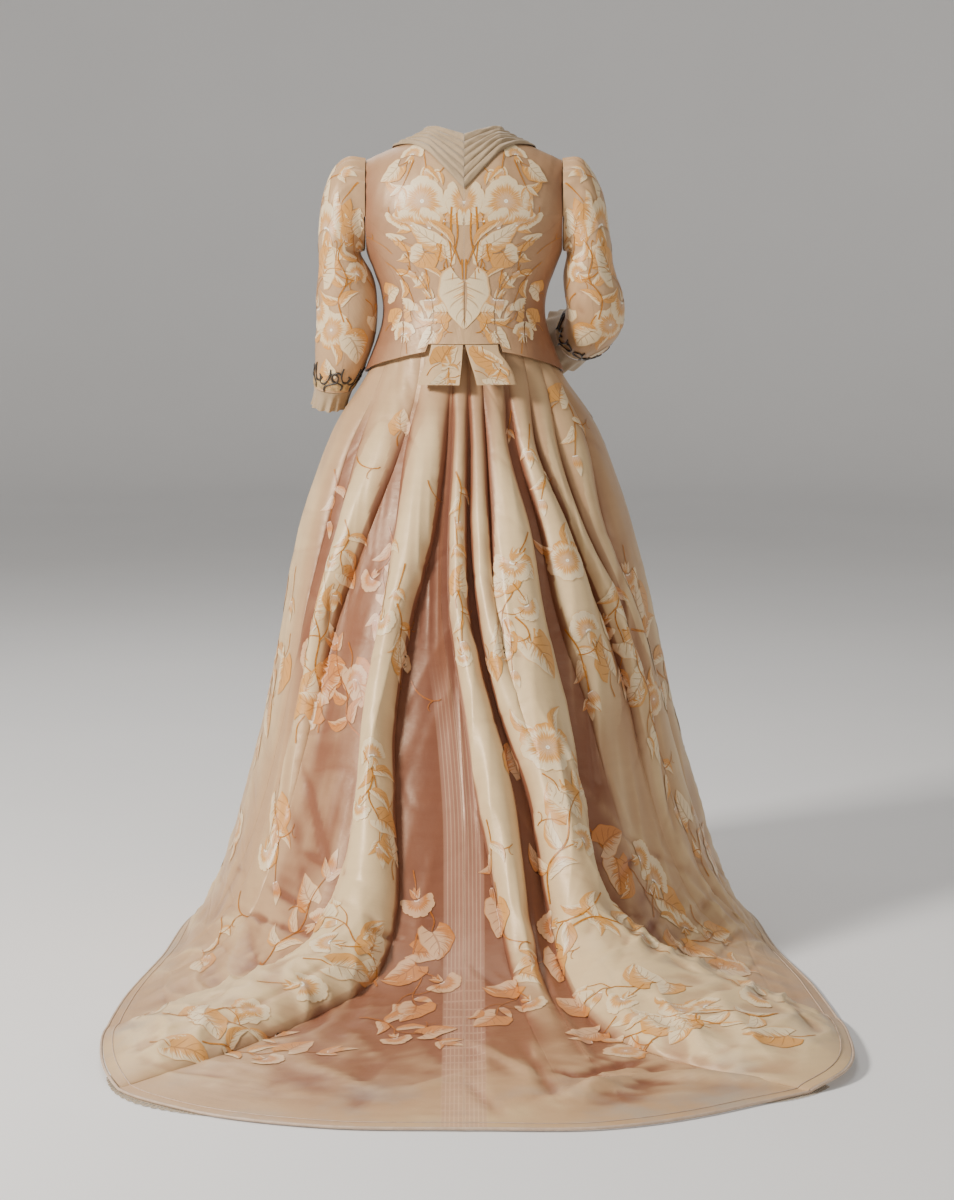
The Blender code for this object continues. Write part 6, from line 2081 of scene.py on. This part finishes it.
def build_collar(side, word):
    along, across = np.meshgrid(np.linspace(0, 1, 66), np.linspace(0, 1, 96), indexing="ij")
    angle, way, stand = collar_point(along, across)
    pleat = np.abs(np.sin(np.pi * COLLAR_PLEATS * across))
    soft = 0.0007 * np.sin(along * 17 + across * 31 + side) + 0.0005 * np.sin(along * 41 - across * 23)
    ends = np.clip(np.minimum(along, 1 - along) / 0.04, 0, 1)
    points = torso(angle, way) + torso_normal(angle, way) * (stand + soft * ends * pleat)[..., None]
    points = mirrored(points, side)
    normals = facing(grid_normals(points, wrap=False), mirrored(torso_normal(angle, way), side))
    points[0, :, 0] = side * SEAM_GAP
    points[-1, :, 0] = side * SEAM_GAP
    normals[0, :, 0] = 0
    normals[-1, :, 0] = 0
    # Painted shade: darker in the hollows of the gauze pleats
    painted_shade = np.clip(1 - pleat / 0.55, 0, 1)
    cloth(f"gauze_collar_{word}", points, unit(normals), "gauze", f"collar_{word}",
          "gauze", painted_shade, thickness=THIN_SHELL)


def build_ruffle(name, first, last, reach):
    """A strip of lace with small holes and a scalloped edge."""
    places = np.linspace(first, last, 220)
    hem = skirt_point(places, np.ones_like(places))
    inside = skirt_point(places, np.full_like(places, 0.97))
    beyond = unit((hem - inside) * np.array([1, 1, 0]))
    scallop = np.abs(np.sin(np.linspace(0, np.pi * 2 * RUFFLE_WAVES, len(places))))
    fade = np.sin(np.linspace(0.15, np.pi - 0.15, len(places)))
    rows = []
    for share in np.linspace(0, 1, 14):
        out = -RUFFLE_UNDER_HEM + (RUFFLE_UNDER_HEM + reach * fade * (0.78 + 0.2 * scallop)) * share
        rows.append(hem + beyond * out[:, None])
    points = np.array(rows)
    points[..., 2] = RUFFLE_FLOOR + RUFFLE_THICKNESS
    normals = np.zeros_like(points)
    normals[..., 2] = 1
    piece = cloth("lace_" + name, points, normals, "lace", name,
                  "lace")
    columns = len(places)
    made = bmesh.new()
    made.from_mesh(piece.data)
    made.faces.ensure_lookup_table()
    gone = [f for i, f in enumerate(made.faces)
            if (i // (columns - 1)) in (4, 5, 8, 9, 11) and (i % (columns - 1)) % 7 in (2, 3, 4)]
    bmesh.ops.delete(made, geom=gone, context="FACES")
    made.to_mesh(piece.data)
    made.free()


# Stage


def build_stage():
    floor_mesh = bpy.data.meshes.new("floor")
    radius, curve_up, height, sides = 9.5, 1.6, 5.2, 96
    outline = [(0.01, 0.0), (radius - curve_up, 0.0)]
    for step in range(1, 17):
        turn = math.pi / 2 * step / 16
        outline.append((radius - curve_up + curve_up * math.sin(turn), curve_up - curve_up * math.cos(turn)))
    outline.append((radius, height))
    vertices = [(r * math.sin(2 * math.pi * i / sides), r * math.cos(2 * math.pi * i / sides),
                 z - WAIST_HEIGHT)
                for r, z in outline for i in range(sides)]
    faces = [(k * sides + i, k * sides + (i + 1) % sides, (k + 1) * sides + (i + 1) % sides,
              (k + 1) * sides + i)
             for k in range(len(outline) - 1) for i in range(sides)]
    faces.append(tuple(range(sides)))
    floor_mesh.from_pydata(vertices, [], faces)
    floor_mesh.shade_smooth()
    made, tree, base = shader("paper")
    place = object_place(tree)
    grain = noise(tree, place, 1.2, 3.0)
    tree.links.new(mixed(tree, grain, (0.70, 0.695, 0.69), (0.76, 0.755, 0.75)), base.inputs["Base Color"])
    base.inputs["Roughness"].default_value = 0.9
    base.inputs["Specular IOR Level"].default_value = 0.1
    base.inputs["Emission Color"].default_value = (1.0, 0.98, 0.96, 1)
    base.inputs["Emission Strength"].default_value = 0.10
    floor_mesh.materials.append(made)
    floor = bpy.data.objects.new("floor", floor_mesh)
    bpy.context.scene.collection.objects.link(floor)


def lamp(name, place, aim, size, power, colour=(1, 1, 1)):
    data = bpy.data.lights.new(name, "AREA")
    data.shape = "RECTANGLE"
    data.size, data.size_y = size
    data.energy = power
    data.color = colour
    made = bpy.data.objects.new(name, data)
    made.location = Vector(place) - Vector((0, 0, WAIST_HEIGHT))
    made.rotation_euler = (Vector(aim) - Vector(place)).to_track_quat("-Z", "Y").to_euler()
    bpy.context.scene.collection.objects.link(made)


def build_lights():
    lamp("key", (3.4, 2.6, 2.9), (0, 0.2, 0.7), (0.8, 0.8), 350, (1.0, 0.955, 0.90))
    lamp("fill", (-3.6, 3.4, 1.8), (0, 0.2, 0.6), (2.0, 2.0), 36, (1.0, 0.97, 0.94))
    lamp("top", (0.4, 0.0, 4.2), (0, 0.3, 0.5), (2.0, 2.0), 50, (1.0, 0.97, 0.93))
    lamp("front", (1.0, -2.7, 3.2), (0, 0.0, 0.8), (2.0, 2.0), 34)
    world = bpy.data.worlds.new("studio")
    bpy.context.scene.world = world
    world.use_nodes = True
    world.node_tree.nodes["Background"].inputs[0].default_value = (1.0, 0.98, 0.96, 1)
    world.node_tree.nodes["Background"].inputs[1].default_value = 0.12


def build_camera():
    data = bpy.data.cameras.new("camera")
    data.sensor_fit = "AUTO"
    data.sensor_width = 36.0
    data.lens = LENS
    data.shift_x = (VIEW_CENTRE - VIEW_AXIS) / VIEW_HEIGHT
    data.clip_start = 0.1
    made = bpy.data.objects.new("camera", data)
    made.location = (0, CAMERA_BACK, CAMERA_UP - WAIST_HEIGHT)
    made.rotation_euler = (math.radians(90 - CAMERA_DOWN_DEG), 0, math.pi)
    bpy.context.scene.collection.objects.link(made)
    bpy.context.scene.camera = made


build_camera()
build_skirt()
build_waistband()
for side, word in ((1, "left"), (-1, "right")):
    build_bodice(side, word)
    build_tail(side, word)
    build_collar(side, word)
build_sleeve(1, "left", HEAD_LEFT, ARM_LEFT)
build_sleeve(-1, "right", HEAD_RIGHT, ARM_RIGHT)
build_cuff(1, "left", CUFF_LEFT)
build_cuff(-1, "right", CUFF_RIGHT)
for name, first, last, reach in RUFFLE_SPANS:
    build_ruffle(name, first, last, reach)
build_stage()
build_lights()
